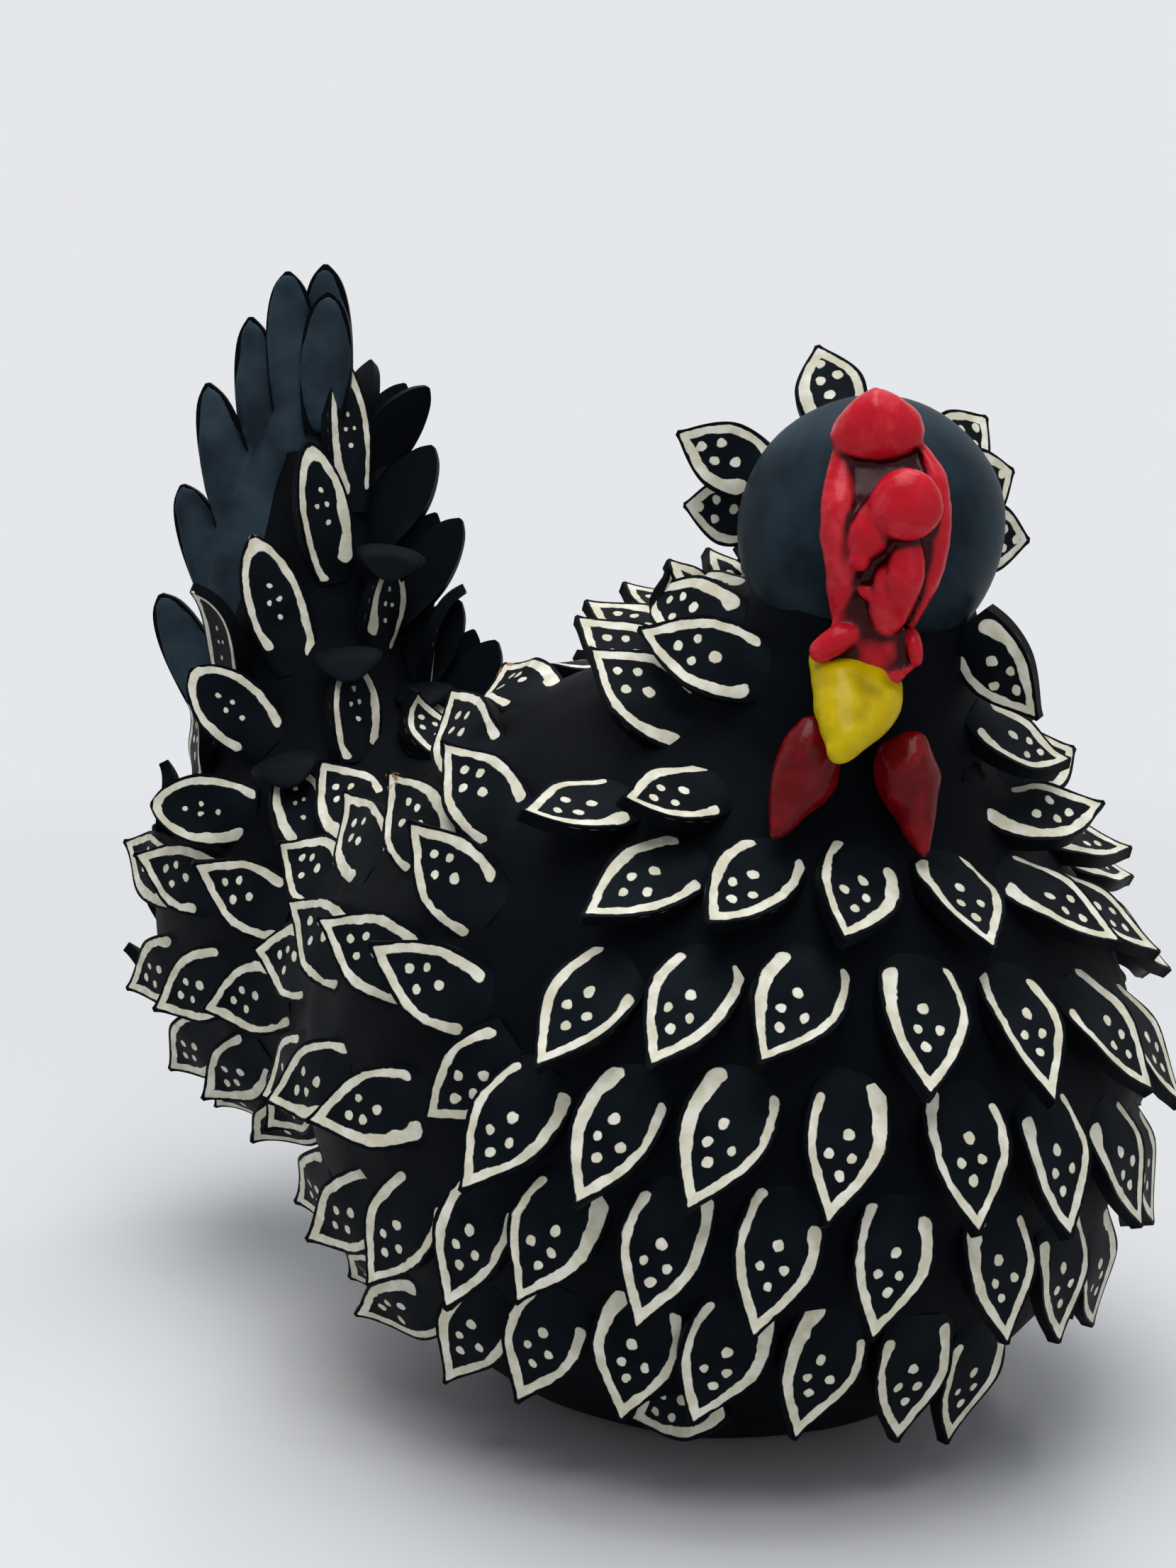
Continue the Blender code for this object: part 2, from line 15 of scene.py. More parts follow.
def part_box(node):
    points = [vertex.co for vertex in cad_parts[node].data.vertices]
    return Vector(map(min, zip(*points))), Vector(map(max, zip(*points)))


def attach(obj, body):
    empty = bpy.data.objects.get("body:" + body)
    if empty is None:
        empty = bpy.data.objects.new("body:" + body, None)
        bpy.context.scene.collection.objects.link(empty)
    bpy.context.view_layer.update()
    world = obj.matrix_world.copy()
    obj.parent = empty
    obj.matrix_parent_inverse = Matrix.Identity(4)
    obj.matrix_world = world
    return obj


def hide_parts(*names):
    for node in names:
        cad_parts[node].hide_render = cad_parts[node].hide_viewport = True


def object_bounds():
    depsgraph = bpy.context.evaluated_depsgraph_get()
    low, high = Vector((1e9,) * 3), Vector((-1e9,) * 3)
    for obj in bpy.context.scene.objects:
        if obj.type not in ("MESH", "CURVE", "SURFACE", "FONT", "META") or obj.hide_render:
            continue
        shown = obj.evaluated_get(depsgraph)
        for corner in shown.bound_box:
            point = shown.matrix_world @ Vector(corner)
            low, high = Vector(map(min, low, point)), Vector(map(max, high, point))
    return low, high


bl_info = {
    "name": "Clay Hen",
    "version": (1, 0, 0),
    "blender": (4, 5, 0),
    "location": "3D View > Sidebar > Clay Hen",
    "description": "Dresses a clay hen figurine in hand-made feathers, comb, beak and wattles",
    "category": "Object",
}

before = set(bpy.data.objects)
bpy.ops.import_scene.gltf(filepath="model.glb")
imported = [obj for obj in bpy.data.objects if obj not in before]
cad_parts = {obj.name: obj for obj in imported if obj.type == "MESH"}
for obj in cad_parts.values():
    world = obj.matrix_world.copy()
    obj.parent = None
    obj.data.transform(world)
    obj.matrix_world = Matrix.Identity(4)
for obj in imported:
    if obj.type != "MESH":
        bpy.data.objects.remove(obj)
CAD_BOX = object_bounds()
MM = 0.001

# Body masses: centre and half sizes of the eggs that make the trunk, and stations of the cores
BODY_CENTER = (0.0, 0.0, 47.0)
BODY_HALF = (54.0, 60.0, 52.0)
RUMP_CENTER = (0.0, 63.0, 52.0)
RUMP_HALF = (29.0, 48.0, 31.0)
BLEND = 14.0
NECK = (((0.0, -9.0, 76.0), 36.0), ((-2.0, -23.0, 98.0), 19.0), ((-4.0, -29.0, 112.0), 14.0))
TAIL = (((0.0, 78.0, 66.0), 22.0), ((0.0, 82.0, 100.0), 13.0), ((0.0, 81.0, 128.0), 5.0))
HEAD_CENTER = (-4.0, -29.5, 121.0)
HEAD_RADIUS = 16.8
HEAD_TURN = 48.0
POLE = (-0.10, -0.48, 0.87)
ROW_AXIS = (0.287, 0.241, 0.927)
FLANK_LEAN = 19.0
FLANK_HEIGHT = 50.0
VENT_Y = 8.0
VENT_RADIUS = 1.8
VENT_DEPTH = 8.0

# Courses: name, kind, station, first angle, step, feathers, length, width, tip lift and how late
# the leaves curl outward
COURSES = (
    ("neck_course_1", "neck", 105.6, 72.0, 31.0, 9, 11.5, 10.0, 8.5, 1.0),
    ("neck_course_2", "neck", 97.0, 68.0, 24.0, 11, 12.5, 10.5, 7.5, 1.0),
    ("collar_course_right", "breast", 62.0, -65.5, 13.5, 2, 12.0, 10.5, 8.0, 1.0),
    ("collar_course_left", "breast", 61.0, 8.0, 15.0, 4, 13.0, 10.5, 6.5, 1.2),
    ("breast_course_1", "breast", 72.0, -55.0, 11.6, 11, 15.0, 10.5, 4.8, 1.6),
    ("breast_course_2", "breast", 86.5, -64.0, 12.5, 13, 15.5, 11.0, 4.8, 1.6),
    ("breast_course_3", "breast", 101.0, -74.0, 13.2, 13, 15.5, 11.0, 4.8, 1.6),
    ("breast_course_4", "breast", 115.0, -99.6, 14.6, 13, 15.5, 11.0, 4.8, 1.6),
    ("breast_course_5", "breast", 131.0, -94.0, 15.8, 7, 15.0, 11.0, 6.0, 1.6),
    ("flank_course_right", "flank", -10.5, -74.5, 13.5, 3, 15.5, 11.0, 5.5, 2.0),
    ("flank_course_left", "flank", -10.5, 47.5, 13.5, 3, 15.5, 11.0, 5.5, 2.0),
    ("flank_course_1", "flank", 2.0, -90.0, 18.0, 11, 15.5, 11.0, 5.5, 2.0),
    ("flank_course_2", "flank", 19.0, -125.0, 17.5, 15, 15.5, 11.0, 5.5, 2.2),
    ("flank_course_3", "flank", 37.0, -133.0, 19.0, 15, 15.5, 11.0, 5.5, 2.6),
    ("rump_course_1", "flank", 54.0, 42.0, 23.0, 13, 15.0, 11.0, 5.5, 2.8),
    ("rump_course_2", "flank", 69.0, 48.0, 25.0, 11, 15.0, 11.0, 5.5, 2.8),
    ("rump_course_3", "flank", 84.0, 62.0, 26.2, 10, 14.0, 10.5, 5.5, 2.4),
    ("rear_course_1", "rear", 37.0, -31.0, 31.0, 3, 14.5, 11.0, 5.0, 2.2),
    ("rear_course_2", "rear", 50.5, -16.0, 32.0, 2, 14.5, 11.0, 5.0, 2.2),
    ("rear_course_3", "rear", 64.0, -36.0, 36.0, 3, 14.5, 11.0, 5.0, 2.2),
    ("rear_course_4", "rear", 76.5, -60.0, 40.0, 4, 14.5, 11.0, 5.0, 2.2),
    ("tail_course_1", "tail", 89.5, 75.0, 37.0, 8, 19.0, 10.5, 6.0, 3.0),
    ("tail_course_2", "tail", 98.5, 112.0, 45.0, 6, 19.0, 10.5, 6.0, 3.0),
    ("tail_course_3", "tail", 108.0, 135.0, 47.0, 5, 20.0, 10.0, 6.5, 2.0),
    ("tail_course_4", "tail", 115.0, 184.0, 46.0, 4, 19.0, 9.5, 6.8, 1.6),
    ("tail_course_5", "tail", 123.0, 158.0, 56.0, 4, 20.0, 9.0, 6.0, 1.4),
)
# Angle at which the leaves of each kind leave the skin
ROOT_ANGLE = {"neck": 18.0, "breast": 4.0, "flank": 2.0, "rear": 2.0, "tail": 0.0}
ROOT_SINK = 1.1
ROOT_RISE = 2.0
REACH = 0.94

# Bare blades of the plume's fan: sideways place of the tip, its height, its place toward the face
# and the blade's lean
FAN = ((-2.5, 152.9, 2.0, -3.0), (-1.5, 157.4, -2.9, 0.0), (4.1, 156.2, -0.5, 2.0),
       (10.4, 149.3, -2.9, 6.0), (17.0, 139.1, -0.5, 12.0), (21.7, 123.2, -2.9, 20.0),
       (24.8, 106.0, -0.5, 25.0))
FAN_WIDTH = 8.0

# Crown feathers round the head ball: turn from the top seen from the face, angle back from
# straight ahead, length and backward lean
CROWN = ((-84.0, 118.0, 9.0, 0.60), (-64.0, 108.0, 11.0, 0.30), (-15.0, 118.0, 10.0, 0.80),
         (50.0, 123.0, 9.5, 1.20), (71.0, 122.0, 8.5, 1.10), (96.0, 122.0, 9.8, 1.00))
CROWN_WIDTH = 9.4

# Places on the face are (across, up, rise): millimetres across and up from the head's middle as the
# camera sees them, and how far off the head ball.  The comb's slab, then the lumps pinched on it:
# name, places along the lump, half widths along it and half depth
SLAB = (((1.0, 15.0, 1.4), (0.8, 10.0, 1.8), (1.6, 4.0, 2.2), (2.2, -2.0, 2.2), (1.6, -8.0, 2.0),
         (0.4, -13.5, 2.2)), (4.8, 6.2, 7.4, 7.2, 6.2, 5.0), 2.2)
LUMPS = (
    ("left_band", ((-3.2, 11.0, 2.8), (-3.8, 3.0, 3.2), (-3.4, -5.0, 3.0), (-3.4, -12.0, 2.8)),
     (2.4, 2.7, 2.6, 2.3), 2.2),
    ("knob", ((-2.5, 12.3, 4.6), (0.8, 13.2, 5.4), (3.9, 12.9, 4.8)), (3.4, 4.6, 3.8), 3.4),
    ("right_rim", ((6.4, 10.6, 3.2), (8.0, 7.6, 3.4), (8.6, 3.0, 3.0), (8.3, -2.0, 2.8), (7.0, -8.0, 2.8),
                   (5.2, -12.0, 2.6)), (1.3, 1.6, 1.6, 1.6, 1.5, 1.3), 2.2),
    ("boss", ((3.6, 2.7, 5.6), (5.2, 3.4, 6.0)), (4.4, 4.4), 3.0),
    ("boss_tail", ((2.4, 3.0, 4.6), (-0.2, -0.8, 4.2), (-2.2, -3.4, 3.4)), (3.4, 2.7, 1.8), 2.2),
    ("bead_high", ((-1.9, -3.7, 4.4), (-1.2, -4.1, 4.4)), (1.2, 1.2), 1.4),
    ("bead_low", ((-0.8, -7.5, 3.8), (-0.4, -8.3, 3.8)), (1.0, 1.0), 1.3),
    ("ridge", ((4.6, -1.6, 4.2), (4.4, -6.0, 5.0), (3.6, -11.4, 4.6)), (2.5, 2.3, 1.6), 2.0),
    ("ridge_slope", ((2.4, -5.4, 3.8), (1.6, -12.0, 4.2)), (2.2, 2.8), 1.9),
    ("foot_plate", ((-0.6, -12.0, 3.6), (-0.3, -17.0, 6.0)), (4.4, 5.4), 1.6),
    ("foot_left", ((-2.2, -12.9, 4.6), (-6.2, -15.3, 6.8)), (1.5, 2.0), 1.8),
    ("foot_right", ((5.2, -13.4, 4.4), (5.7, -16.6, 6.8)), (1.1, 1.2), 1.8),
    ("foot_lip", ((-6.3, -16.3, 6.8), (-3.4, -18.2, 7.2), (0.2, -19.0, 7.4), (3.4, -18.4, 7.2),
                  (5.6, -17.0, 6.8)), (1.3, 1.4, 1.3, 1.4, 1.2), 1.5),
)
# How far a lump runs past its end places, as a share of its half width there
LUMP_END = 0.8

# Beak: (across, up, out toward the eye) along it, and half widths.  Wattles: (across, up) along each,
# and half widths
BEAK = ((-2.3, -13.5, 8.0), (-1.9, -17.0, 10.8), (-2.0, -20.5, 14.6), (-2.9, -24.2, 17.8),
        (-3.8, -27.2, 20.0), (-4.6, -29.6, 21.2))
BEAK_WIDE = (6.6, 7.4, 6.2, 4.6, 3.2, 1.8)
BEAK_DEEP = (3.4, 3.8, 3.6, 3.0, 2.2, 1.4)
BEAK_TILT = 14.0
WATTLES = (
    ("wattle_right", ((-6.8, -23.5), (-7.4, -28.0), (-8.6, -31.5), (-10.2, -35.0), (-12.6, -39.6)),
     (3.4, 4.0, 4.1, 3.0, 1.5)),
    ("wattle_left", ((3.9, -25.6), (4.1, -29.5), (4.9, -33.2), (5.8, -37.0), (6.9, -41.8)),
     (4.6, 4.5, 3.7, 2.6, 1.4)),
)
# How far the top and the tip of a wattle stand off the throat, and half depths along it
WATTLE_PUSH = (4.4, 3.6)
WATTLE_DEEP = (3.4, 3.9, 3.6, 2.7, 1.4)

# Scales set one by one where the tail faces the camera and where the courses leave the clay bare:
# for each course the middle that places are taken from, then for each scale (across, up) of root and
# tip as seen from there, width, turn of the face to the right, how far the tip stands off the clay, and
# whether a bare hood ends it
TAIL_MIDDLE = (0.0, 80.0, 100.0)
SET_SCALES = {
    "tail_course_1": (TAIL_MIDDLE, (
        ((-8.0, -18.0), (-21.0, -5.6), 11.0, 0.0, 3.0, False),
        ((-10.5, -28.6), (-27.3, -27.0), 11.0, 0.0, 3.0, False),
        ((5.4, -20.5), (3.8, -3.8), 9.5, 35.0, 3.5, True),
        ((-2.0, -34.0), (-5.8, -21.0), 9.5, 20.0, 3.5, True),
        ((17.0, -18.0), (27.4, -1.2), 9.0, 165.0, 0.0, False),
        ((17.0, -18.0), (23.6, 0.6), 8.0, 190.0, -2.0, False),
    )),
    "tail_course_2": (TAIL_MIDDLE, (
        ((-3.9, -6.0), (-11.3, 15.5), 9.8, 0.0, 3.0, False),
        ((8.2, -3.0), (10.6, 12.0), 9.0, 50.0, 3.0, True),
        ((11.0, -11.0), (21.6, 5.2), 9.0, 165.0, 0.0, False),
    )),
    "tail_course_3": (TAIL_MIDDLE, (
        ((1.9, 8.0), (-2.5, 30.2), 9.0, 25.0, 3.5, False),
        ((9.0, 1.0), (21.8, 18.0), 9.0, 165.0, 0.0, False),
        ((9.0, 1.5), (17.7, 19.0), 8.0, 185.0, -2.0, False),
    )),
    "tail_course_5": (TAIL_MIDDLE, (
        ((4.6, 19.0), (2.4, 43.7), 8.8, 42.0, 9.0, False),
        ((4.0, 23.0), (16.4, 39.0), 8.5, 200.0, 0.0, False),
        ((4.0, 23.5), (12.8, 39.4), 8.0, 185.0, -2.0, False),
    )),
    "tail_course_4": (TAIL_MIDDLE, (
        ((7.0, 13.0), (17.4, 29.5), 9.0, 160.0, 0.0, False),
    )),
    "flank_course_2": (TAIL_MIDDLE, (
        ((16.6, -19.0), (15.4, -9.5), 9.5, 30.0, 3.5, True),
    )),
    "breast_course_4": (BODY_CENTER, (
        ((-26.5, 0.4), (-39.5, -9.5), 11.0, 0.0, 3.0, False),
    )),
    "breast_course_5": (BODY_CENTER, (
        ((1.6, -47.5), (-10.3, -51.6), 10.0, 0.0, 3.0, False),
    )),
    "collar_course_right": (HEAD_CENTER, (
        ((12.0, -12.0), (21.4, -24.0), 9.5, 25.0, 3.0, False),
    )),
}
# Leaves of the courses that the scales above stand in for, or that would crowd them
LEFT_OUT = {"tail_course_1": (1, 2, 3), "tail_course_2": (0, 1, 2), "tail_course_3": (0, 1, 2),
            "tail_course_4": (0, 1), "tail_course_5": (0, 1), "rump_course_1": (12,),
            "flank_course_2": (5, 6), "flank_course_3": (6,)}
# The hood over a scale's tip: half widths from behind the scale, over it and down again, places along
# that way as (up the scale, out from it), and half its clay
HOOD_WIDE = (3.0, 5.0, 5.4, 5.0, 3.4)
HOOD_WAY = ((-3.5, -2.0), (1.6, -0.6), (2.6, 1.4), (1.2, 3.6), (-1.4, 4.6))
HOOD_CLAY = 1.7
# A longer scale would reach from one part of the clay to another that lies behind it
LONGEST_SCALE = 28.0

# The leaf that every feather is pressed from
LEAF_LENGTH = 15.5
LEAF_WIDTH = 11.0
LEAF_CLAY = 2.2
LEAF_ROWS = 12
LEAF_COLUMNS = (-1.0, -0.93, -0.72, -0.38, 0.0, 0.38, 0.72, 0.93, 1.0)
RIM = 0.5
SPINE_ROWS = 15
# The place stored for clay without paint: across the leaf, along it and in from its edge
UNPAINTED = (99.0, 0.0, -1.0)
# How much the leaves of a course vary: width, thinness of the tip, length, sideways bend in
# millimetres and turn in degrees
WIDTH_RANGE = (0.97, 1.07)
THIN_RANGE = (0.05, 0.45)
LENGTH_RANGE = (0.97, 1.04)
SWAY_MOST = 1.2
TURN_MOST = 7.0
# How far a tail leaf's root lies below its place, and how far each kind's rim rises over its face
TAIL_ROOT = 1.5
CUP = {"neck": 0.5, "breast": 0.5, "flank": 0.5, "rear": 0.5, "tail": 0.25}
# Fan: half widths and depths of its blades of clay, and of the palm that they grow from, whose middle
# is given as (across, height)
BLADE_WIDE = (3.4, 3.8, 4.0, 3.9, 3.5, 2.8)
BLADE_DEEP = (2.6, 2.2, 1.7, 1.5, 1.3, 1.1)
PALM = ((7.0, 84.0), (7.0, 100.0), (6.5, 115.0), (4.0, 128.0), (2.0, 140.0))
PALM_WIDE = (9.0, 11.0, 10.0, 7.0, 4.0)
PALM_DEEP = (6.0, 5.0, 4.0, 3.0, 2.0)
# How near the frame's box a piece may come, in metres
BOX_MARGIN = 0.00002
# Rays from inside the clay and sight lines toward the eye: first place tried, last place and step
RAY = (2.0, 140.0, 1.0)
SIGHT_LINE = (70.0, -30.0, -0.25)

# Paint: how far the line stays in from the rim, the dots as (across, along, size, sway), and how
# little the matt black shines
LINE_INSET = 0.42
DOTS = ((0.15, -2.5, 1.05, 0.9), (-1.5, 0.0, 0.95, -0.7), (1.5, 0.15, 0.92, -0.5), (0.0, 2.4, 1.0, 0.8))
BLACK_SHINE = 0.07
SHEEN_TINT = "#A9BCD6"

rng = np.random.default_rng(7)


def unit(v):
    v = np.asarray(v, float)
    return v / np.linalg.norm(v, axis=-1, keepdims=True)


def turned(way, toward, degrees):
    """A direction turned toward another that is square to it."""
    return way * math.cos(math.radians(degrees)) + toward * math.sin(math.radians(degrees))


# Skin: the smooth surface that the feathers are rooted on

def egg(p, center, half):
    q = (p - np.array(center)) / np.array(half)
    near = np.linalg.norm(q, axis=-1)
    return near * (near - 1.0) / np.maximum(np.linalg.norm(q / np.array(half), axis=-1), 1e-9)


def cone(p, a, b):
    start, run = np.array(a[0]), np.array(b[0]) - np.array(a[0])
    t = np.clip((p - start) @ run / (run @ run), 0.0, 1.0)
    return np.linalg.norm(p - start - t[..., None] * run, axis=-1) - (a[1] + (b[1] - a[1]) * t)


def blend(a, b, k):
    h = np.maximum(k - np.abs(a - b), 0.0) / k
    return np.minimum(a, b) - h * h * k / 4.0


def skin(p):
    d = blend(egg(p, BODY_CENTER, BODY_HALF), egg(p, RUMP_CENTER, RUMP_HALF), BLEND)
    for run in (NECK, TAIL):
        d = blend(d, np.minimum(cone(p, run[0], run[1]), cone(p, run[1], run[2])), BLEND)
    return d


def normal(p):
    e = 0.05
    g = [skin(p + np.eye(3)[i] * e) - skin(p - np.eye(3)[i] * e) for i in range(3)]
    return unit(np.stack(g, -1))


def settle(p):
    for _ in range(4):
        p = p - normal(p) * skin(p)[..., None]
    return p


def cast(origin, rays):
    """First point where each ray from inside leaves the skin."""
    t = np.arange(*RAY)
    outside = np.stack([skin(origin + rays * x) > 0.0 for x in t])
    first = np.argmax(outside, 0)
    low, high = t[np.maximum(first - 1, 0)], t[first]
    for _ in range(14):
        mid = (low + high) / 2.0
        out = skin(origin + rays * mid[..., None]) > 0.0
        high, low = np.where(out, mid, high), np.where(out, low, mid)
    return origin + rays * high[..., None]


def flow(kind, p):
    """Direction in which the feathers of a course lie at the points p."""
    if kind == "breast":
        v = np.broadcast_to(-unit(POLE), p.shape)
    elif kind == "neck":
        fall = np.clip((-22.0 - p[..., 1]) / 14.0, 0.0, 0.9)
        v = np.stack([np.zeros_like(fall), np.ones_like(fall), -fall], -1)
    elif kind in ("tail", "rear"):
        v = np.broadcast_to((0.0, 0.0, 1.0), p.shape)
    else:
        rise = np.clip((p[..., 2] - 57.0) / 25.0, -0.6, 0.9)
        v = np.stack([np.zeros_like(rise), np.ones_like(rise), rise], -1)
    n = normal(p)
    return unit(v - n * np.sum(v * n, -1, keepdims=True))


def tail_middle(height):
    """Point of the tail core's line at a height, an array of heights or one number."""
    low, mid, high = (np.array(c) for c, r in TAIL)
    y = np.interp(height, (low[2], mid[2], high[2]), (low[1], mid[1], high[1]))
    return np.stack([np.zeros_like(y), y, np.asarray(height, float)], -1)


def ring(kind, station, angles):
    """Points where a course's feathers are rooted on the skin."""
    polar = math.pi / 2.0
    if kind == "breast":
        center, axis, polar = np.array(BODY_CENTER), unit(ROW_AXIS), math.radians(station)
        zero = unit(np.cross(np.cross(axis, (0.0, -1.0, 0.0)), axis))
    elif kind == "neck":
        low, high = np.array(NECK[0][0]), np.array(NECK[2][0])
        center, axis = low + (high - low) * (station - low[2]) / (high[2] - low[2]), unit(POLE)
        zero = unit(np.cross(np.cross(axis, AHEAD), axis))
    elif kind in ("tail", "rear"):
        center, axis, zero = tail_middle(station), UP, np.array((0.0, 1.0, 0.0))
    else:
        lean = math.radians(FLANK_LEAN)
        center = np.array((0.0, station, FLANK_HEIGHT))
        axis = np.array((0.0, math.cos(lean), -math.sin(lean)))
        zero = np.array((0.0, math.sin(lean), math.cos(lean)))
    a = np.radians(angles)[:, None]
    around = np.cos(a) * zero + np.sin(a) * np.cross(axis, zero)
    return cast(center, math.cos(polar) * axis + math.sin(polar) * around)


# Face directions, and the shift from the maker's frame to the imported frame
AHEAD = np.array((-math.sin(math.radians(HEAD_TURN)), -math.cos(math.radians(HEAD_TURN)), 0.0))
LEFT = np.array((-AHEAD[1], AHEAD[0], 0.0))
UP = np.array((0.0, 0.0, 1.0))
head_low, head_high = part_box("head")
SHIFT = np.array((head_low + head_high) / 2.0) / MM - np.array(HEAD_CENTER)


# The camera's own directions, and its place
EYE = np.array((-266.379, -223.519, 140.175))
EYE_TURN = (80.914, 0.0, -47.208)
tilt, spin = math.radians(EYE_TURN[0]), math.radians(EYE_TURN[2])
ACROSS = np.array((math.cos(spin), math.sin(spin), 0.0))
RISE = np.array((math.sin(spin) * -math.cos(tilt), math.cos(spin) * math.cos(tilt), math.sin(tilt)))


def to_frame(points):
    return (np.asarray(points, float) + SHIFT) * MM


def sight(middle, across, up):
    """Point in the plane through middle that faces the camera, and the way from it to the eye."""
    point = np.array(middle) + ACROSS * across + RISE * up
    return point, unit(EYE - point)


def face_point(across, up, rise):
    """Point that the camera sees at (across, up) from the head's middle, rise off the head ball."""
    point, way = sight(HEAD_CENTER, across, up)
    off = point - np.array(HEAD_CENTER)
    run = off @ way
    return point + way * (math.sqrt(max(run * run + (HEAD_RADIUS + rise) ** 2 - off @ off, 0.0)) - run)


def sideways(points, first):
    """Direction square to a run of points and to the eye's way to one of them."""
    return unit(np.cross(points[-1] - points[first], EYE - points[first]))


# Mesh helpers

def pick_none():
    for obj in bpy.context.selected_objects:
        obj.select_set(False)


def only(*objects):
    """Selects these objects alone and makes the first of them active."""
    pick_none()
    for obj in objects:
        obj.select_set(True)
    bpy.context.view_layer.objects.active = objects[0]


def coordinates(mesh, key="co"):
    """Places of a mesh's points, or with the key normal the ways that they face."""
    values = np.zeros(len(mesh.vertices) * 3)
    mesh.vertices.foreach_get(key, values)
    return values.reshape(-1, 3)


def set_coordinates(mesh, co):
    mesh.vertices.foreach_set("co", np.ascontiguousarray(co, float).ravel())
    mesh.update()


def modify(obj, kind, **settings):
    """Gives an object one modifier and applies it."""
    modifier = obj.modifiers.new("clay", kind)
    for key, value in settings.items():
        setattr(modifier, key, value)
    only(obj)
    bpy.ops.object.modifier_apply(modifier=modifier.name)


def discard(obj):
    bpy.data.objects.remove(obj, do_unlink=True)


def join(objects, name):
    only(*objects)
    bpy.ops.object.join()
    whole = bpy.context.view_layer.objects.active
    whole.name = whole.data.name = name
    return whole


def fuse(objects, name, voxel, passes):
    """Joins lumps of clay into one skin, with cells of voxel millimetres, and smooths it."""
    whole = join(objects, name)
    whole.data.remesh_voxel_size = voxel * MM
    only(whole)
    bpy.ops.object.voxel_remesh()
    modify(whole, "SMOOTH", factor=0.5, iterations=passes)
    return whole


def between(shares, run):
    """Points at shares of the way through a run of points."""
    rows = np.linspace(0.0, 1.0, len(run))
    return np.stack([np.interp(shares, rows, run[:, i]) for i in range(3)], -1)


def bead(spine, side, wide, deep, fill):
    """A ball drawn out along a spine; wide and deep hold its half sizes along the way."""
    pick_none()
    bpy.ops.mesh.primitive_uv_sphere_add(segments=28, ring_count=22, radius=1.0)
    lump = bpy.context.object
    co = coordinates(lump.data)
    t = np.arccos(np.clip(co[:, 2], -1.0, 1.0)) / math.pi
    round_off = np.maximum(np.sin(t * math.pi), 1e-6)
    spine = np.asarray(spine, float)
    at = between(t, spine)
    run = unit(spine[-1] - spine[0])
    out = unit(np.cross(side, run))
    close = round_off ** fill / round_off
    half = [np.interp(t, np.linspace(0.0, 1.0, len(h)), h) if np.ndim(h) else h for h in (wide, deep)]
    points = at + np.outer(co[:, 0] * close * half[0], side) + np.outer(co[:, 1] * close * half[1], out)
    set_coordinates(lump.data, to_frame(points))
    return lump


def pinch(obj, grain, depth):
    """Presses shallow finger marks into a piece, grain millimetres across."""
    co, facing = coordinates(obj.data), coordinates(obj.data, "normal")
    marks = np.array([clay_noise.noise(Vector(p) / (grain * MM)) for p in co])
    set_coordinates(obj.data, co + facing * (marks * depth * MM)[:, None])


def mark_folds(obj, reach):
    """Stores how deep each point lies in a fold, from how the surface bends within reach steps; the gloss
    paints use it to darken the folds as painted shade.
    """
    mesh = obj.data
    co, facing = coordinates(mesh), coordinates(mesh, "normal")
    ends = np.zeros(len(mesh.edges) * 2, int)
    mesh.edges.foreach_get("vertices", ends)
    a, b = ends.reshape(-1, 2).T
    count = np.bincount(a, minlength=len(co)) + np.bincount(b, minlength=len(co))
    soft = co
    for _ in range(reach):
        total = np.stack([np.bincount(a, soft[b, i], len(co)) + np.bincount(b, soft[a, i], len(co))
                          for i in range(3)], -1)
        soft = total / count[:, None]
    sunk = np.sum((soft - co) * facing, -1) / MM
    layer = mesh.attributes.new("fold", "FLOAT", "POINT")
    layer.data.foreach_set("value", np.clip(sunk * 1.6 + 0.3, 0.0, 1.0))


def finish_piece(obj, name, nodes, finish):
    """Names and dresses a piece, hangs it on the root and hides the parts that it stands for in the frame."""
    obj.name = obj.data.name = name
    obj.data.materials.clear()
    obj.data.materials.append(finish)
    obj.data.shade_smooth()
    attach(obj, "root")
    if nodes:
        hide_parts(*nodes)


# Materials

def srgb(text):
    """sRGB hex to a linear colour."""
    parts = [int(text[i:i + 2], 16) / 255.0 for i in (1, 3, 5)]
    return tuple(c / 12.92 if c <= 0.04045 else ((c + 0.055) / 1.055) ** 2.4 for c in parts) + (1.0,)


def add(tree, kind, inputs=None, **settings):
    """Adds one node; inputs maps a socket's name or number to a value or to another node's output."""
    made = tree.nodes.new(kind)
    for key, value in settings.items():
        setattr(made, key, value)
    for key, value in (inputs or {}).items():
        if isinstance(value, bpy.types.NodeSocket):
            tree.links.new(value, made.inputs[key])
        else:
            made.inputs[key].default_value = value
    return made


def calc(tree, operation, *values):
    return add(tree, "ShaderNodeMath", dict(enumerate(values)), operation=operation).outputs[0]


def far(tree, a, b):
    """Distance from the origin of a place given by two numbers."""
    squares = [calc(tree, "POWER", part, 2.0) for part in (a, b)]
    return calc(tree, "SQRT", calc(tree, "ADD", *squares))


def new_material(name):
    mat = bpy.data.materials.new(name)
    mat.use_nodes = True
    tree = mat.node_tree
    tree.nodes.clear()
    out = add(tree, "ShaderNodeOutputMaterial")
    shader = add(tree, "ShaderNodeBsdfPrincipled")
    tree.links.new(shader.outputs[0], out.inputs[0])
    return mat, tree, shader, add(tree, "ShaderNodeTexCoord").outputs["Object"]


def set_surface(tree, shader, color, rough, height, strength, depth):
    """Gives a finish its colour, its roughness and a relief, depth millimetres deep."""
    tree.links.new(color, shader.inputs["Base Color"])
    tree.links.new(rough, shader.inputs["Roughness"])
    bump = add(tree, "ShaderNodeBump", {"Height": height, "Strength": strength, "Distance": depth * MM})
    tree.links.new(bump.outputs[0], shader.inputs["Normal"])


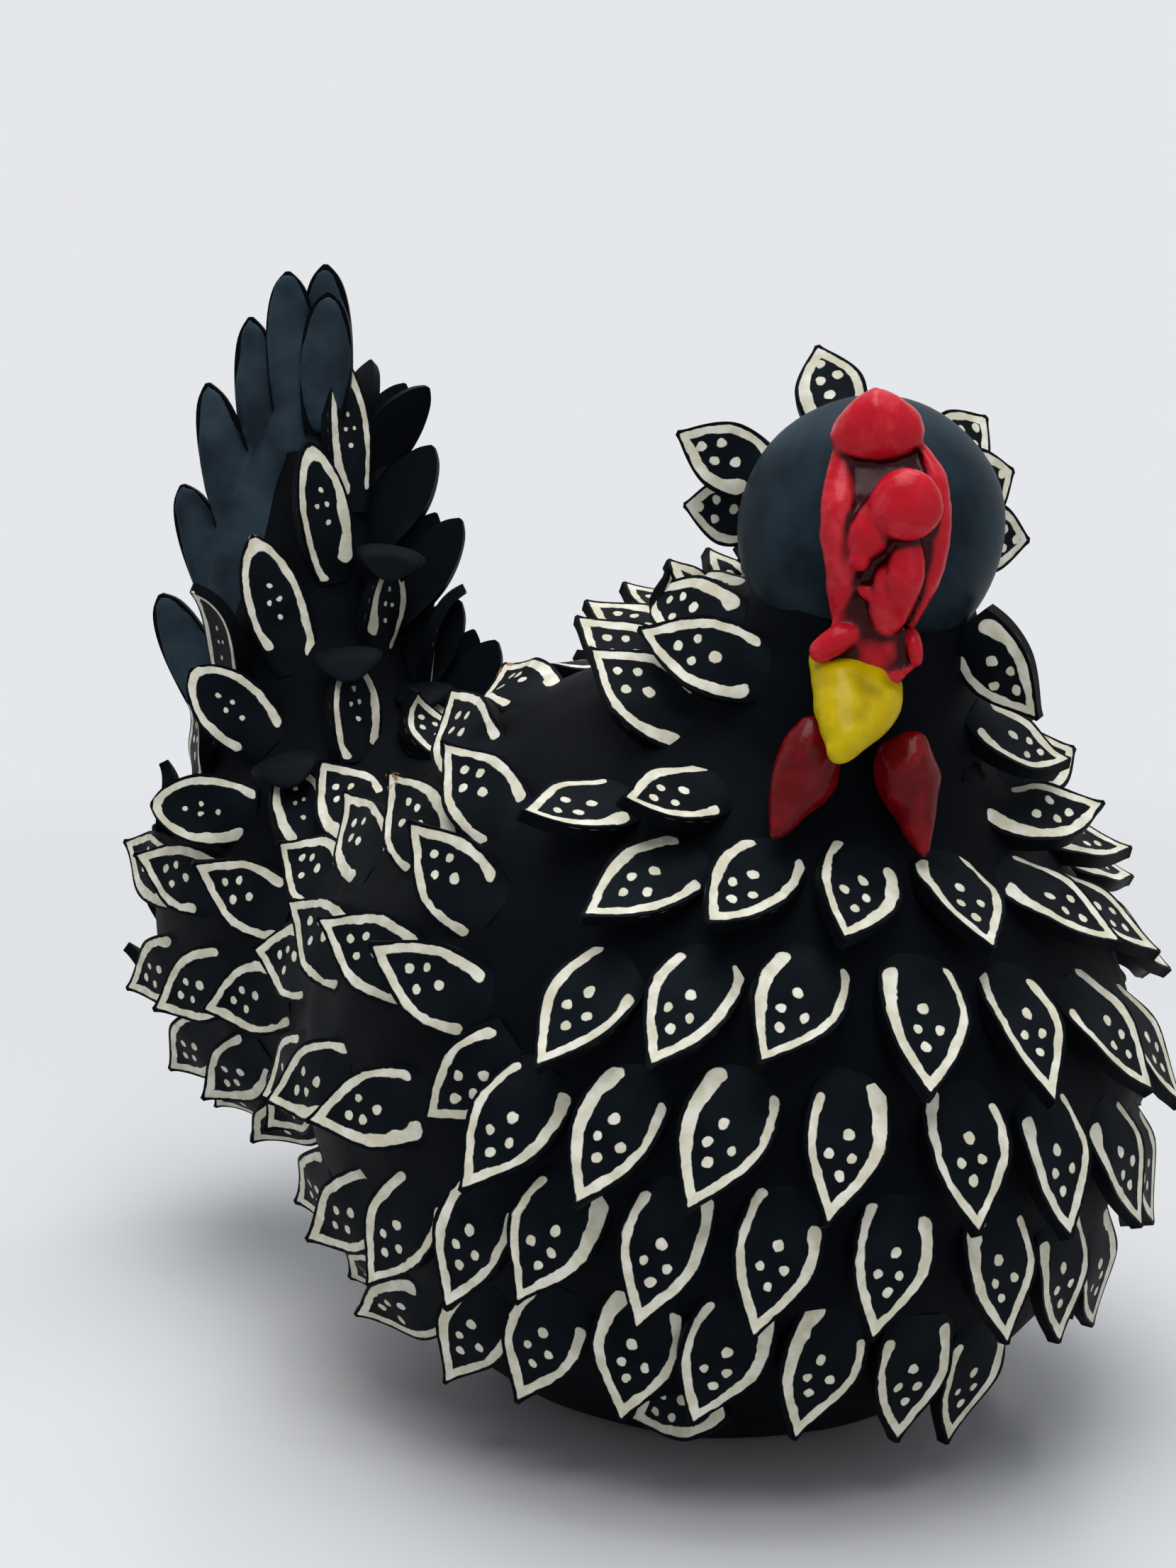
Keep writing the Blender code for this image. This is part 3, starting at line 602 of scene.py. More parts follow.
def dull(shader):
    """The faint cold sheen of matt black acrylic."""
    shader.inputs["Specular IOR Level"].default_value = BLACK_SHINE
    shader.inputs["Specular Tint"].default_value = srgb(SHEEN_TINT)


def noise(tree, vector, grain, detail=3.0, rough=0.55, output="Fac"):
    """Noise whose features are about grain millimetres across."""
    return add(tree, "ShaderNodeTexNoise", {"Vector": vector, "Scale": 1.0 / (grain * MM), "Detail": detail,
                                            "Roughness": rough}).outputs[output]


def stored(tree, key, output="Vector"):
    """What the points of a piece hold under a name."""
    return add(tree, "ShaderNodeAttribute", attribute_name=key).outputs[output]


def split(tree, vector):
    return add(tree, "ShaderNodeSeparateXYZ", {0: vector}).outputs


def mix(tree, factor, a, b):
    return add(tree, "ShaderNodeMix", {0: factor, 6: a, 7: b}, data_type="RGBA").outputs[2]


def ramp(tree, value, low, high, to_low=0.0, to_high=1.0):
    return add(tree, "ShaderNodeMapRange", {0: value, 1: low, 2: high, 3: to_low, 4: to_high}).outputs[0]


def black_clay(name, tone, patch_tone, rough, grain_depth):
    """Matt black acrylic over fired clay: it swallows the light, with fine grit and brush drags."""
    mat, tree, shader, place = new_material(name)
    cloud = noise(tree, place, 9.0)
    grit = noise(tree, place, 0.7, 4.0, 0.65)
    # Tone varies in random patches; the lighter tones given to the head and the fan are painted light on the
    # same black paint
    color = mix(tree, ramp(tree, cloud, 0.35, 0.70), srgb(tone), srgb(patch_tone))
    shine = ramp(tree, cloud, 0.3, 0.7, rough - 0.06, rough + 0.08)
    set_surface(tree, shader, color, shine, grit, 0.35, grain_depth)
    dull(shader)
    return mat


def painted_feather(name, line, dot, spread):
    """Black acrylic on a clay leaf, with painted shade that darkens its rim and underside, a brushed cream
    line along its edge and four cream dots.

    The leaf attribute holds the place on the leaf in millimetres: across, along from its middle and
    in from its edge.  The hand attribute holds two numbers that vary with each feather and the
    place where its strokes start.
    """
    mat, tree, shader, place = new_material(name)
    across, along, inset = split(tree, stored(tree, "leaf"))
    first, second, start = split(tree, stored(tree, "hand"))
    wobble = split(tree, noise(tree, place, 1.9, 2.0, output="Color"))
    shake = [calc(tree, "MULTIPLY_ADD", part, 0.9, -0.45) for part in wobble]
    x = calc(tree, "ADD", across, shake[0])
    y = calc(tree, "ADD", along, shake[1])
    edge = calc(tree, "ADD", inset, calc(tree, "MULTIPLY", shake[2], 0.6))

    # The line: two strokes from the tip, one of them pressed harder toward its root end
    side = calc(tree, "SIGN", across)
    lean = calc(tree, "MULTIPLY", side, calc(tree, "MULTIPLY_ADD", first, 2.0, -1.0))
    root = ramp(tree, along, 4.0, -6.0)
    thick = calc(tree, "MULTIPLY", calc(tree, "MAXIMUM", lean, -0.25), root)
    later = calc(tree, "MULTIPLY", side, calc(tree, "MULTIPLY_ADD", second, 3.4, -1.7))
    open_at = calc(tree, "ADD", start, later)
    blob = ramp(tree, calc(tree, "SUBTRACT", along, open_at), 2.2, 0.4, 0.0, 0.28)
    pressed = calc(tree, "ADD", calc(tree, "MULTIPLY_ADD", thick, 0.8, 1.0), blob)
    uneven = ramp(tree, noise(tree, place, 3.4, 2.0), 0.3, 0.7, 0.84, 1.18)
    width = calc(tree, "MULTIPLY", calc(tree, "MULTIPLY", pressed, uneven), line)
    inward = calc(tree, "SUBTRACT", edge, calc(tree, "MULTIPLY_ADD", width, 0.5, LINE_INSET))
    behind = calc(tree, "MAXIMUM", calc(tree, "SUBTRACT", open_at, y), 0.0)
    paint = calc(tree, "SUBTRACT", far(tree, inward, behind), calc(tree, "MULTIPLY", width, 0.5))

    # Four dots in a rhombus, none of them quite in its place
    for dx, dy, size, sway in DOTS:
        middle = calc(tree, "MULTIPLY_ADD", first, sway * spread, (dx - sway / 2.0) * spread)
        aside = calc(tree, "SUBTRACT", x, middle)
        ahead = calc(tree, "SUBTRACT", y, calc(tree, "MULTIPLY_ADD", second, 0.8, dy - 0.4))
        paint = calc(tree, "MINIMUM", paint, calc(tree, "SUBTRACT", far(tree, aside, ahead), dot * size))
    covered = ramp(tree, paint, 0.05, -0.05)

    # Some tips are chipped down to the tan clay
    chip = calc(tree, "MULTIPLY", ramp(tree, noise(tree, place, 1.3, 3.0), 0.52, 0.56),
                calc(tree, "MULTIPLY", ramp(tree, first, 0.975, 0.98), ramp(tree, along, 6.0, 6.8)))
    cloud = noise(tree, place, 6.0)
    drag = noise(tree, place, 0.8, 4.0, 0.65)
    inner = mix(tree, ramp(tree, cloud, 0.3, 0.7), srgb("#05080A"), srgb("#0E1317"))
    # Painted shade: the rim and the clay marked unpainted, such as the undersides, take a darker black than
    # the face
    black = mix(tree, ramp(tree, inset, 0.2, 1.6), srgb("#040608"), inner)
    thin = ramp(tree, noise(tree, place, 2.6), 0.38, 0.66)
    cream = mix(tree, thin, srgb("#C9C5AE"), srgb("#E2E0D4"))
    color = mix(tree, chip, mix(tree, covered, black, cream), srgb("#94714C"))
    height = calc(tree, "MULTIPLY_ADD", drag, 0.35, covered)
    set_surface(tree, shader, color, ramp(tree, covered, 0.0, 1.0, 0.58, 0.45), height, 0.6, 0.12)
    dull(shader)
    return mat


def gloss_paint(name, base, light, dark, rough):
    """Thick gloss acrylic on pinched clay with random lighter and darker patches. The paler patches are
    partly rubbed paint and partly painted highlights, and painted shade darkens the folds.
    """
    mat, tree, shader, place = new_material(name)
    cloud = noise(tree, place, 4.5, 3.0, 0.6)
    fine = noise(tree, place, 1.1, 3.0, 0.6)
    fold = stored(tree, "fold", "Fac")
    # Paler random patches: partly rubbed paint, partly painted highlights
    color = mix(tree, ramp(tree, cloud, 0.50, 0.74, 0.0, 0.6), srgb(base), srgb(light))
    # Painted shade: darker in the folds, and in random patches of the cloud noise
    sunk = calc(tree, "ADD", fold, calc(tree, "MULTIPLY_ADD", cloud, 0.5, -0.25))
    color = mix(tree, ramp(tree, sunk, 0.12, 0.62), color, srgb(dark))
    set_surface(tree, shader, color, ramp(tree, fine, 0.3, 0.7, rough - 0.06, rough + 0.12), fine, 0.5, 0.25)
    shader.inputs["Specular IOR Level"].default_value = 0.08
    shader.inputs["Coat Weight"].default_value = 0.10
    shader.inputs["Coat Roughness"].default_value = 0.11
    return mat


# Feathers

def pointed(s):
    """Half the width of a body feather at a share s of its length, as a share of its full width."""
    root = 1.0 - 0.24 * np.clip((0.4 - s) / 0.4, 0.0, 1.0) ** 2.0
    return 0.5 * root * (1.0 - np.clip((s - 0.4) / 0.6, 0.0, 1.0) ** 1.75) ** 0.95


def rounded(s):
    """Half the width of a tail scale or blade, which ends in a round tip."""
    root = 1.0 - 0.30 * np.clip((0.5 - s) / 0.5, 0.0, 1.0) ** 2.0
    return 0.5 * root * np.sqrt(np.maximum(1.0 - np.clip((s - 0.5) / 0.5, 0.0, 1.0) ** 2.3, 0.0))


def build_leaf(outline):
    """The flat leaf: a grid drawn in to the leaf's outline, given its clay and a rounded rim."""
    pick_none()
    bpy.ops.mesh.primitive_grid_add(x_subdivisions=len(LEAF_COLUMNS) - 1, y_subdivisions=LEAF_ROWS, size=1.0)
    leaf = bpy.context.object
    co = coordinates(leaf.data)
    column = np.rint((co[:, 0] + 0.5) * (len(LEAF_COLUMNS) - 1)).astype(int)
    share = 1.0 - (0.5 - co[:, 1]) ** 1.15
    half = np.maximum(outline(share), 0.04)
    co[:, 0] = np.array(LEAF_COLUMNS)[column] * half * LEAF_WIDTH * MM
    co[:, 1] = share * LEAF_LENGTH * MM
    co[:, 2] = 0.0
    set_coordinates(leaf.data, co)
    modify(leaf, "SOLIDIFY", thickness=LEAF_CLAY * MM, offset=-1.0)
    modify(leaf, "BEVEL", width=RIM * MM, segments=2, limit_method="ANGLE", angle_limit=math.radians(50.0))
    return leaf


class Leaf:
    """A master leaf's points in millimetres and how far each lies in from the outline."""

    def __init__(self, outline):
        self.object = build_leaf(outline)
        co = coordinates(self.object.data) / MM
        self.x, self.y, self.z = co.T
        s = np.linspace(0.0, 1.0, 160)
        rim = outline(s) * LEAF_WIDTH
        line = np.concatenate([np.stack([k * rim, s * LEAF_LENGTH], 1) for k in (1.0, -1.0)])
        self.edge = np.min(np.linalg.norm(co[:, None, :2] - line[None], axis=2), axis=1)
        self.under = self.z < -RIM * 0.7

    def copy(self, name, spine, side, width, cup, drawn=0.0, sway=0.0):
        """A feather on a spine of points; side holds the sideways direction, at each point or for all.

        cup raises the rim over the face, drawn pulls the tip thin and sway bends it sideways.
        """
        length = np.sum(np.linalg.norm(np.diff(spine, axis=0), axis=1))
        s = np.clip(self.y / LEAF_LENGTH, 0.0, 1.0)
        side = np.broadcast_to(side, spine.shape)
        out = unit(np.cross(side, np.gradient(spine, axis=0)))
        at, across, face = (between(s, run) for run in (spine, side, out))
        part = 2.0 * self.x / LEAF_WIDTH
        thinned = 1.0 - drawn * np.clip((s - 0.5) / 0.5, 0.0, 1.0) ** 1.5
        x = self.x * width / LEAF_WIDTH * thinned + sway * s ** 2
        rooted = np.clip(1.0 - s / 0.42, 0.0, 1.0)
        z = (self.z + LEAF_CLAY / 2.0) * (1.15 - 0.42 * s)
        z = z + part ** 2 * (cup * np.clip((s - 0.2) / 0.4, 0.0, 1.0) - 1.5 * rooted)
        obj = self.object.copy()
        obj.data = self.object.data.copy()
        bpy.context.scene.collection.objects.link(obj)
        obj.name = name
        set_coordinates(obj.data, to_frame(at + across * x[:, None] + face * z[:, None]))
        place = np.stack([np.where(self.under, UNPAINTED[0], self.x * width / LEAF_WIDTH),
                          (self.y / LEAF_LENGTH - 0.53) * length,
                          np.where(self.under, UNPAINTED[2], self.edge * width / LEAF_WIDTH)], 1)
        hand = (*rng.uniform(0.0, 1.0, 2), -rng.uniform(0.34, 0.42) * length)
        mark(obj, "leaf", place)
        mark(obj, "hand", hand)
        return obj


def curl(first, late, rise):
    """Angles along a leaf off its ground, so that its tip rises by a share of the way it covers."""
    t = np.linspace(0.0, 1.0, SPINE_ROWS)
    for last in range(int(first), 130):
        bend = np.radians(first + (last - first) * t ** late)
        if np.sin(bend).mean() >= rise * np.cos(bend).mean():
            break
    return bend


def skin_spines(kind, station, angles, length, bend, turns, stretch):
    """Spines of a course's leaves, which run along the skin and curl off it."""
    point = ring(kind, station, angles)
    start = 0.10 * length
    point = settle(point - flow(kind, point) * start)
    step = (length * REACH / np.cos(bend).mean() + start) / (SPINE_ROWS - 1) * stretch
    spines, sides, height = [], [], 0.0
    for i, angle in enumerate(bend):
        n, d = normal(point), flow(kind, point)
        d = d * np.cos(turns)[:, None] + np.cross(n, d) * np.sin(turns)[:, None]
        ground = -ROOT_SINK + ROOT_RISE * min(i / (SPINE_ROWS * 0.4), 1.0)
        spines.append(point + n * np.reshape(ground + height, (-1, 1)))
        sides.append(np.cross(d, n))
        point = settle(point + d * (math.cos(angle) * step)[:, None])
        height = height + math.sin(angle) * step
    return np.stack(spines, 1), np.stack(sides, 1)


def free_spine(root, up, out, length, bend):
    """A spine that starts along up and curls toward out."""
    heading = np.cos(bend)[:, None] * up + np.sin(bend)[:, None] * out
    steps = (heading[1:] + heading[:-1]) / 2.0 * length / (len(bend) - 1)
    return np.concatenate([[root], root + np.cumsum(steps, 0)])


def fit_in_box(obj):
    """Keeps a piece inside the frame's box by drawing in the few points past it."""
    low, high = (np.array(c) for c in CAD_BOX)
    set_coordinates(obj.data, np.clip(coordinates(obj.data), low + BOX_MARGIN, high - BOX_MARGIN))


def mark(obj, key, values):
    """Stores a vector for every point of a piece."""
    layer = obj.data.attributes.new(key, "FLOAT_VECTOR", "POINT")
    spread = np.broadcast_to(values, (len(obj.data.vertices), 3))
    layer.data.foreach_set("vector", np.ascontiguousarray(spread, float).ravel())


def finish_feather(obj, name, ending, finish):
    """Rounds a feather or a course, keeps it in the box and lets it stand for its node."""
    modify(obj, "SUBSURF", levels=1, render_levels=1)
    fit_in_box(obj)
    finish_piece(obj, name + ending, [name], finish)


def skin_depth(point, way):
    """How far toward the eye the skin lies from a point, or nothing where the eye sees past it."""
    steps = np.arange(*SIGHT_LINE)
    inside = skin(point + way * steps[:, None]) < 0.0
    return steps[np.argmax(inside)] if inside.any() else math.nan


def set_spine(middle, root, tip, stand, away):
    """Spine of a scale that the camera sees from root to tip, and the way from it to the eye.

    Its tip stands off the clay.  A scale that faces away lies in the plane through the middle.
    """
    t = np.linspace(0.0, 1.0, SPINE_ROWS)
    seats = [sight(middle, *(np.array(root) * (1.0 - k) + np.array(tip) * k)) for k in t]
    line = stand * t
    if not away:
        ground = np.array([skin_depth(point, way) for point, way in seats])
        end = ground[0] if math.isnan(ground[-1]) else ground[-1] + stand
        line = ground[0] - ROOT_SINK + (end - ground[0] + ROOT_SINK) * t
        short = np.nanmax(ground + ROOT_RISE * np.minimum(t / 0.4, 1.0) - ROOT_SINK - line)
        line = line + 4.0 * t * (1.0 - t) * max(short, 0.0)
    spine = np.array([point + way * out for (point, way), out in zip(seats, line)])
    if np.isnan(spine).any():
        raise ValueError("a scale's root misses the clay: %s" % (root,))
    if np.linalg.norm(spine[-1] - spine[0]) > LONGEST_SCALE:
        raise ValueError("a scale reaches past its part of the clay: %s" % (root,))
    return spine, np.array([way for point, way in seats])


def hood(spine, side, face):
    """The bare clay that folds over the tip of a scale."""
    along = unit(spine[-1] - spine[-4])
    way = np.array([spine[-3] + along * up + face * out for up, out in HOOD_WAY])
    lump = bead(way, side, HOOD_WIDE, HOOD_CLAY, 0.45)
    mark(lump, "leaf", UNPAINTED)
    mark(lump, "hand", (0.0, 0.0, 0.0))
    return lump


def set_scales(leaf, name):
    """The scales set one by one that belong to a course."""
    made = []
    middle, scales = SET_SCALES.get(name, (None, ()))
    for root, tip, width, turn, stand, hooded in scales:
        spine, faces = set_spine(middle, root, tip, stand, turn > 90.0)
        side = unit(np.cross(np.gradient(spine, axis=0), faces))
        made.append(leaf.copy(name, spine, turned(side, -faces, turn), width, 0.3, 0.3))
        if hooded:
            made.append(hood(spine, side[-1], faces[-1]))
    return made


def build_course(leaf, finish, name, kind, station, first, step, count, length, width, lift, late):
    angles = first + step * np.arange(count)
    widths = width * rng.uniform(*WIDTH_RANGE, count)
    drawn = rng.uniform(*THIN_RANGE, count)
    sways = rng.uniform(-SWAY_MOST, SWAY_MOST, count)
    turns = np.radians(rng.uniform(-TURN_MOST, TURN_MOST, count))
    stretch = rng.uniform(*LENGTH_RANGE, count)
    bend = curl(ROOT_ANGLE[kind], late, lift / (length * REACH))
    if kind == "tail":
        spines, sides = [], []
        for root, share in zip(ring(kind, station, angles), stretch):
            out = unit(root - tail_middle(root[2]))
            run = (length * REACH / np.cos(bend).mean() + TAIL_ROOT) * share
            spines.append(free_spine(root - UP * TAIL_ROOT, UP, out, run, bend))
            sides.append(np.cross(UP, out))
    else:
        spines, sides = skin_spines(kind, station, angles, length, bend, turns, stretch)
    leaves = []
    for k, row in enumerate(zip(spines, sides, widths, drawn, sways)):
        if k not in LEFT_OUT.get(name, ()):
            spine, side, wide, thin, sway = row
            leaves.append(leaf.copy(name, spine, side, wide, CUP[kind], thin, sway))
    finish_feather(join(leaves + set_scales(leaf, name), name), name, "_feathers", finish)


# Stage

# Lamps: name, place in metres, size and watts
LAMPS = (("window", (-0.34, -0.24, 0.92), 0.6, 4.9), ("ceiling", (0.10, 0.06, 1.00), 0.7, 5.8),
         ("fill", (-0.25, -0.95, 0.35), 0.8, 1.0))
ROOM_LIGHT = 0.46
BACKDROP = "#E5E7EA"
# Where the lit floor gives way to the plain backdrop, in metres from the hen
FLOOR_FADE = (0.16, 0.55)
# Camera: sensor, and focal length in the photo's pixels
SENSOR = 36.0
FOCAL_PIXELS = 3600.0
PHOTO_HEIGHT = 2212.0


def seen(tree):
    """1 on rays from the camera, also by way of a mirror or glass, and 0 on rays of light."""
    rays = add(tree, "ShaderNodeLightPath")
    mirror = calc(tree, "MAXIMUM", rays.outputs["Is Glossy Ray"], rays.outputs["Is Transmission Ray"])
    return calc(tree, "MAXIMUM", rays.outputs["Is Camera Ray"], mirror)


def pale_floor():
    """Pale painted board with a faint sheen, which fades into the backdrop away from the hen."""
    mat, tree, shader, place = new_material("pale_board")
    shader.inputs["Base Color"].default_value = srgb("#D2D3D5")
    shader.inputs["Roughness"].default_value = 0.28
    shader.inputs["Specular IOR Level"].default_value = 0.3
    away = add(tree, "ShaderNodeVectorMath", {0: place}, operation="LENGTH").outputs["Value"]
    plain = calc(tree, "MULTIPLY", ramp(tree, away, *FLOOR_FADE), seen(tree))
    back = add(tree, "ShaderNodeEmission", {"Color": srgb(BACKDROP), "Strength": 1.0})
    both = add(tree, "ShaderNodeMixShader", {0: plain, 1: shader.outputs[0], 2: back.outputs[0]})
    tree.links.new(both.outputs[0], tree.nodes["Material Output"].inputs[0])
    return mat


def soft_room():
    world = bpy.data.worlds.new("soft_room")
    world.use_nodes = True
    tree = world.node_tree
    tree.nodes.clear()
    room = add(tree, "ShaderNodeBackground", {"Color": srgb("#DDE2E8"), "Strength": ROOM_LIGHT})
    back = add(tree, "ShaderNodeBackground", {"Color": srgb(BACKDROP), "Strength": 1.0})
    both = add(tree, "ShaderNodeMixShader", {0: seen(tree), 1: room.outputs[0], 2: back.outputs[0]})
    add(tree, "ShaderNodeOutputWorld", {0: both.outputs[0]})
    return world


# Operators

class HenSizes(bpy.types.PropertyGroup):
    """Sizes that a user would change."""
    line_width: bpy.props.FloatProperty(
        name="Line width", description="Width of the cream edge line in millimetres",
        default=1.15, min=0.2, max=3.0)
    dot_radius: bpy.props.FloatProperty(
        name="Dot radius", description="Radius of the cream dots in millimetres",
        default=0.66, min=0.1, max=2.0)


class HEN_OT_body(bpy.types.Operator):
    """Model the clay body that carries the feathers, with its flat foot and firing vent"""
    bl_idname = "hen.body"
    bl_label = "Body"

    def execute(self, context):
        pick_none()
        masses = []
        for center, half in ((BODY_CENTER, BODY_HALF), (RUMP_CENTER, RUMP_HALF)):
            bpy.ops.mesh.primitive_uv_sphere_add(segments=48, ring_count=24, radius=MM,
                                                 location=to_frame(center), scale=half)
            masses.append(context.object)
        for run in (NECK, TAIL):
            for (a, ra), (b, rb) in zip(run[:-1], run[1:]):
                line = Vector(b) - Vector(a)
                bpy.ops.mesh.primitive_cone_add(vertices=40, radius1=ra * MM, radius2=rb * MM,
                                                depth=line.length * MM,
                                                location=to_frame((Vector(a) + Vector(b)) / 2.0),
                                                rotation=line.to_track_quat("Z", "Y").to_euler())
                masses.append(context.object)
        only(*masses)
        bpy.ops.object.transform_apply(location=True, rotation=True, scale=True)
        body = fuse(masses, "body_clay", 1.5, 2)
        p = settle(settle(coordinates(body.data) / MM - SHIFT))
        p[:, 2] = np.maximum(p[:, 2], 0.0)
        set_coordinates(body.data, to_frame(p))
        pinch(body, 9.0, 0.35)
        p = coordinates(body.data)
        p[:, 2] = np.maximum(p[:, 2], CAD_BOX[0][2])
        set_coordinates(body.data, p)
        pick_none()
        bpy.ops.mesh.primitive_cylinder_add(vertices=24, radius=VENT_RADIUS * MM, depth=2.0 * VENT_DEPTH * MM,
                                            location=to_frame((0.0, VENT_Y, 0.0)))
        vent = context.object
        modify(body, "BOOLEAN", operation="DIFFERENCE", object=vent)
        discard(vent)
        finish_piece(body, "body_clay", ["body"],
                     black_clay("matt_black_clay", "#030406", "#07090C", 0.66, 0.15))
        return {"FINISHED"}


class HEN_OT_head(bpy.types.Operator):
    """Model the smooth head ball and the crown feathers behind it"""
    bl_idname = "hen.head"
    bl_label = "Head and crown"

    def execute(self, context):
        sizes = context.scene.hen_sizes
        pick_none()
        bpy.ops.mesh.primitive_uv_sphere_add(segments=72, ring_count=36, radius=HEAD_RADIUS * MM,
                                             location=to_frame(HEAD_CENTER))
        head = context.object
        bpy.ops.object.transform_apply(location=True, rotation=True, scale=True)
        pinch(head, 12.0, 0.35)
        # The head's blue-grey tones, lighter than the body's black, are painted light and sheen on the same
        # black paint
        finish_piece(head, "head_ball", ["head"],
                     black_clay("smoothed_black_clay", "#141E25", "#26343D", 0.48, 0.06))
        leaf = Leaf(pointed)
        finish = painted_feather("painted_crown_feather", sizes.line_width * 0.95, sizes.dot_radius, 0.85)
        center = np.array(HEAD_CENTER)
        for k, (turn, polar, length, lean) in enumerate(CROWN):
            radial = turned(UP, LEFT, turn)
            out = turned(AHEAD, radial, polar)
            along = unit(radial - lean * AHEAD)
            face = unit(AHEAD - along * np.dot(AHEAD, along))
            bend = np.radians(np.linspace(0.0, 16.0, SPINE_ROWS))
            root = center + out * (HEAD_RADIUS - 1.0) - face * 0.4
            spine = free_spine(root, along, face, length + 1.6, bend)
            name = "crown_feather_%d" % (k + 1)
            feather = leaf.copy(name, spine, np.cross(along, face), CROWN_WIDTH, 0.3, 0.1)
            finish_feather(feather, name, "_leaf", finish)
        discard(leaf.object)
        return {"FINISHED"}


class HEN_OT_comb(bpy.types.Operator):
    """Model the pinched comb: a rolled knob, a boss, a smooth band and a flared foot over the beak"""
    bl_idname = "hen.comb"
    bl_label = "Comb"

    def execute(self, context):
        lumps = []
        for spine, wide, deep in (SLAB, *(row[1:] for row in LUMPS)):
            points = np.array([face_point(*place) for place in spine])
            starts, ends = unit(points[1] - points[0]), unit(points[-1] - points[-2])
            points[0] -= starts * wide[0] * LUMP_END
            points[-1] += ends * wide[-1] * LUMP_END
            lumps.append(bead(points, sideways(points, 0), wide, deep, 0.4))
        comb = fuse(lumps, "comb_clay", 0.36, 5)
        pinch(comb, 3.6, 0.3)
        pinch(comb, 1.3, 0.08)
        mark_folds(comb, 45)
        fit_in_box(comb)
        # The darkest colour is painted shade in the folds; the pale one is partly rubbed paint and partly
        # painted highlight
        finish_piece(comb, "comb_clay", ["comb"],
                     gloss_paint("gloss_red_paint", "#B41222", "#D8444F", "#330005", 0.26))
        return {"FINISHED"}


class HEN_OT_beak(bpy.types.Operator):
    """Model the beak and the two wattles"""
    bl_idname = "hen.beak"
    bl_label = "Beak and wattles"

    def execute(self, context):
        seats = [sight(HEAD_CENTER, across, up) for across, up, out in BEAK]
        points = np.array([point + way * row[2] for (point, way), row in zip(seats, BEAK)])
        side = sideways(points, 1)
        side = side if side @ ACROSS > 0.0 else -side
        run = unit(points[-1] - points[1])
        side = unit(turned(side, run, BEAK_TILT))
        beak = fuse([bead(points, side, BEAK_WIDE, BEAK_DEEP, 0.4)], "beak_clay", 0.45, 3)
        pinch(beak, 3.0, 0.35)
        mark_folds(beak, 10)
        # The darkest colour is painted shade in the folds; the pale one is partly rubbed paint and partly
        # painted highlight
        finish_piece(beak, "beak_clay", ["beak"],
                     gloss_paint("gloss_yellow_paint", "#B79E00", "#D2BE0A", "#5C4800", 0.36))
        # The darkest colour is painted shade in the folds; the pale one is partly rubbed paint and partly
        # painted highlight
        red = gloss_paint("gloss_dark_red_paint", "#5C0409", "#9A0E1C", "#220104", 0.24)
        for node, places, wide in WATTLES:
            points = []
            for k, (across, up) in enumerate(places):
                inside, way = sight(HEAD_CENTER, across, up)
                spot = cast(inside, way)
                push = WATTLE_PUSH[0] + (WATTLE_PUSH[1] - WATTLE_PUSH[0]) * k / (len(places) - 1)
                points.append(spot + way * push)
            points = np.array(points)
            drop = bead(points, sideways(points, 0), wide, WATTLE_DEEP, 0.35)
            drop = fuse([drop], node + "_clay", 0.5, 3)
            pinch(drop, 3.4, 0.5)
            mark_folds(drop, 10)
            finish_piece(drop, node + "_clay", [node], red)
        return {"FINISHED"}


class HEN_OT_feathers(bpy.types.Operator):
    """Model every course of painted feathers on the body and round the tail"""
    bl_idname = "hen.feathers"
    bl_label = "Feathers"

    def execute(self, context):
        sizes = context.scene.hen_sizes
        broad, narrow = Leaf(pointed), Leaf(rounded)
        paint = painted_feather("painted_feather", sizes.line_width, sizes.dot_radius, 1.0)
        fine = painted_feather("painted_tail_feather", sizes.line_width, sizes.dot_radius * 0.62, 0.55)
        for course in COURSES:
            leaf, finish = (narrow, fine) if course[1] == "tail" else (broad, paint)
            build_course(leaf, finish, *course)
        for leaf in (broad, narrow):
            discard(leaf.object)
        return {"FINISHED"}


class HEN_OT_fan(bpy.types.Operator):
    """Model the plume's fan: bare toward the face, with painted blades behind"""
    bl_idname = "hen.fan"
    bl_label = "Tail fan"

    def execute(self, context):
        sizes = context.scene.hen_sizes
        leaf = Leaf(rounded)
        finish = painted_feather("painted_fan_blade", sizes.line_width * 0.9, sizes.dot_radius * 0.62, 0.45)
        lumps = []
        for k, (across, height, ahead, lean) in enumerate(FAN):
            tip = tail_middle(height) - LEFT * across + AHEAD * ahead
            along = turned(UP, -LEFT, lean)
            length = 8.0
            while skin(tip - along * length) > -1.0:
                length += 0.5
            root = tip - along * length
            side = unit(np.cross(along, -AHEAD))
            spine = np.linspace(0.0, 1.0, SPINE_ROWS)[:, None] * (tip - root) + root - AHEAD * 1.2
            blade = leaf.copy("blade", spine, side, FAN_WIDTH, 0.0)
            name = "tail_blade_%d" % (k + 1)
            finish_feather(blade, name, "_leaf", finish)
            lumps.append(bead([root, tip - along * 0.2], side, BLADE_WIDE, BLADE_DEEP, 0.35))
        palm = [tail_middle(height) - LEFT * across for across, height in PALM]
        lumps.append(bead(palm, LEFT, PALM_WIDE, PALM_DEEP, 0.35))
        fan = fuse(lumps, "fan_clay", 0.6, 8)
        pinch(fan, 7.0, 0.4)
        fit_in_box(fan)
        # The fan's blue-grey tones, lighter than the body's black, are painted light on the same black paint
        finish_piece(fan, "fan_clay", [],
                     black_clay("bare_black_clay", "#1C252C", "#313E48", 0.60, 0.12))
        discard(leaf.object)
        return {"FINISHED"}


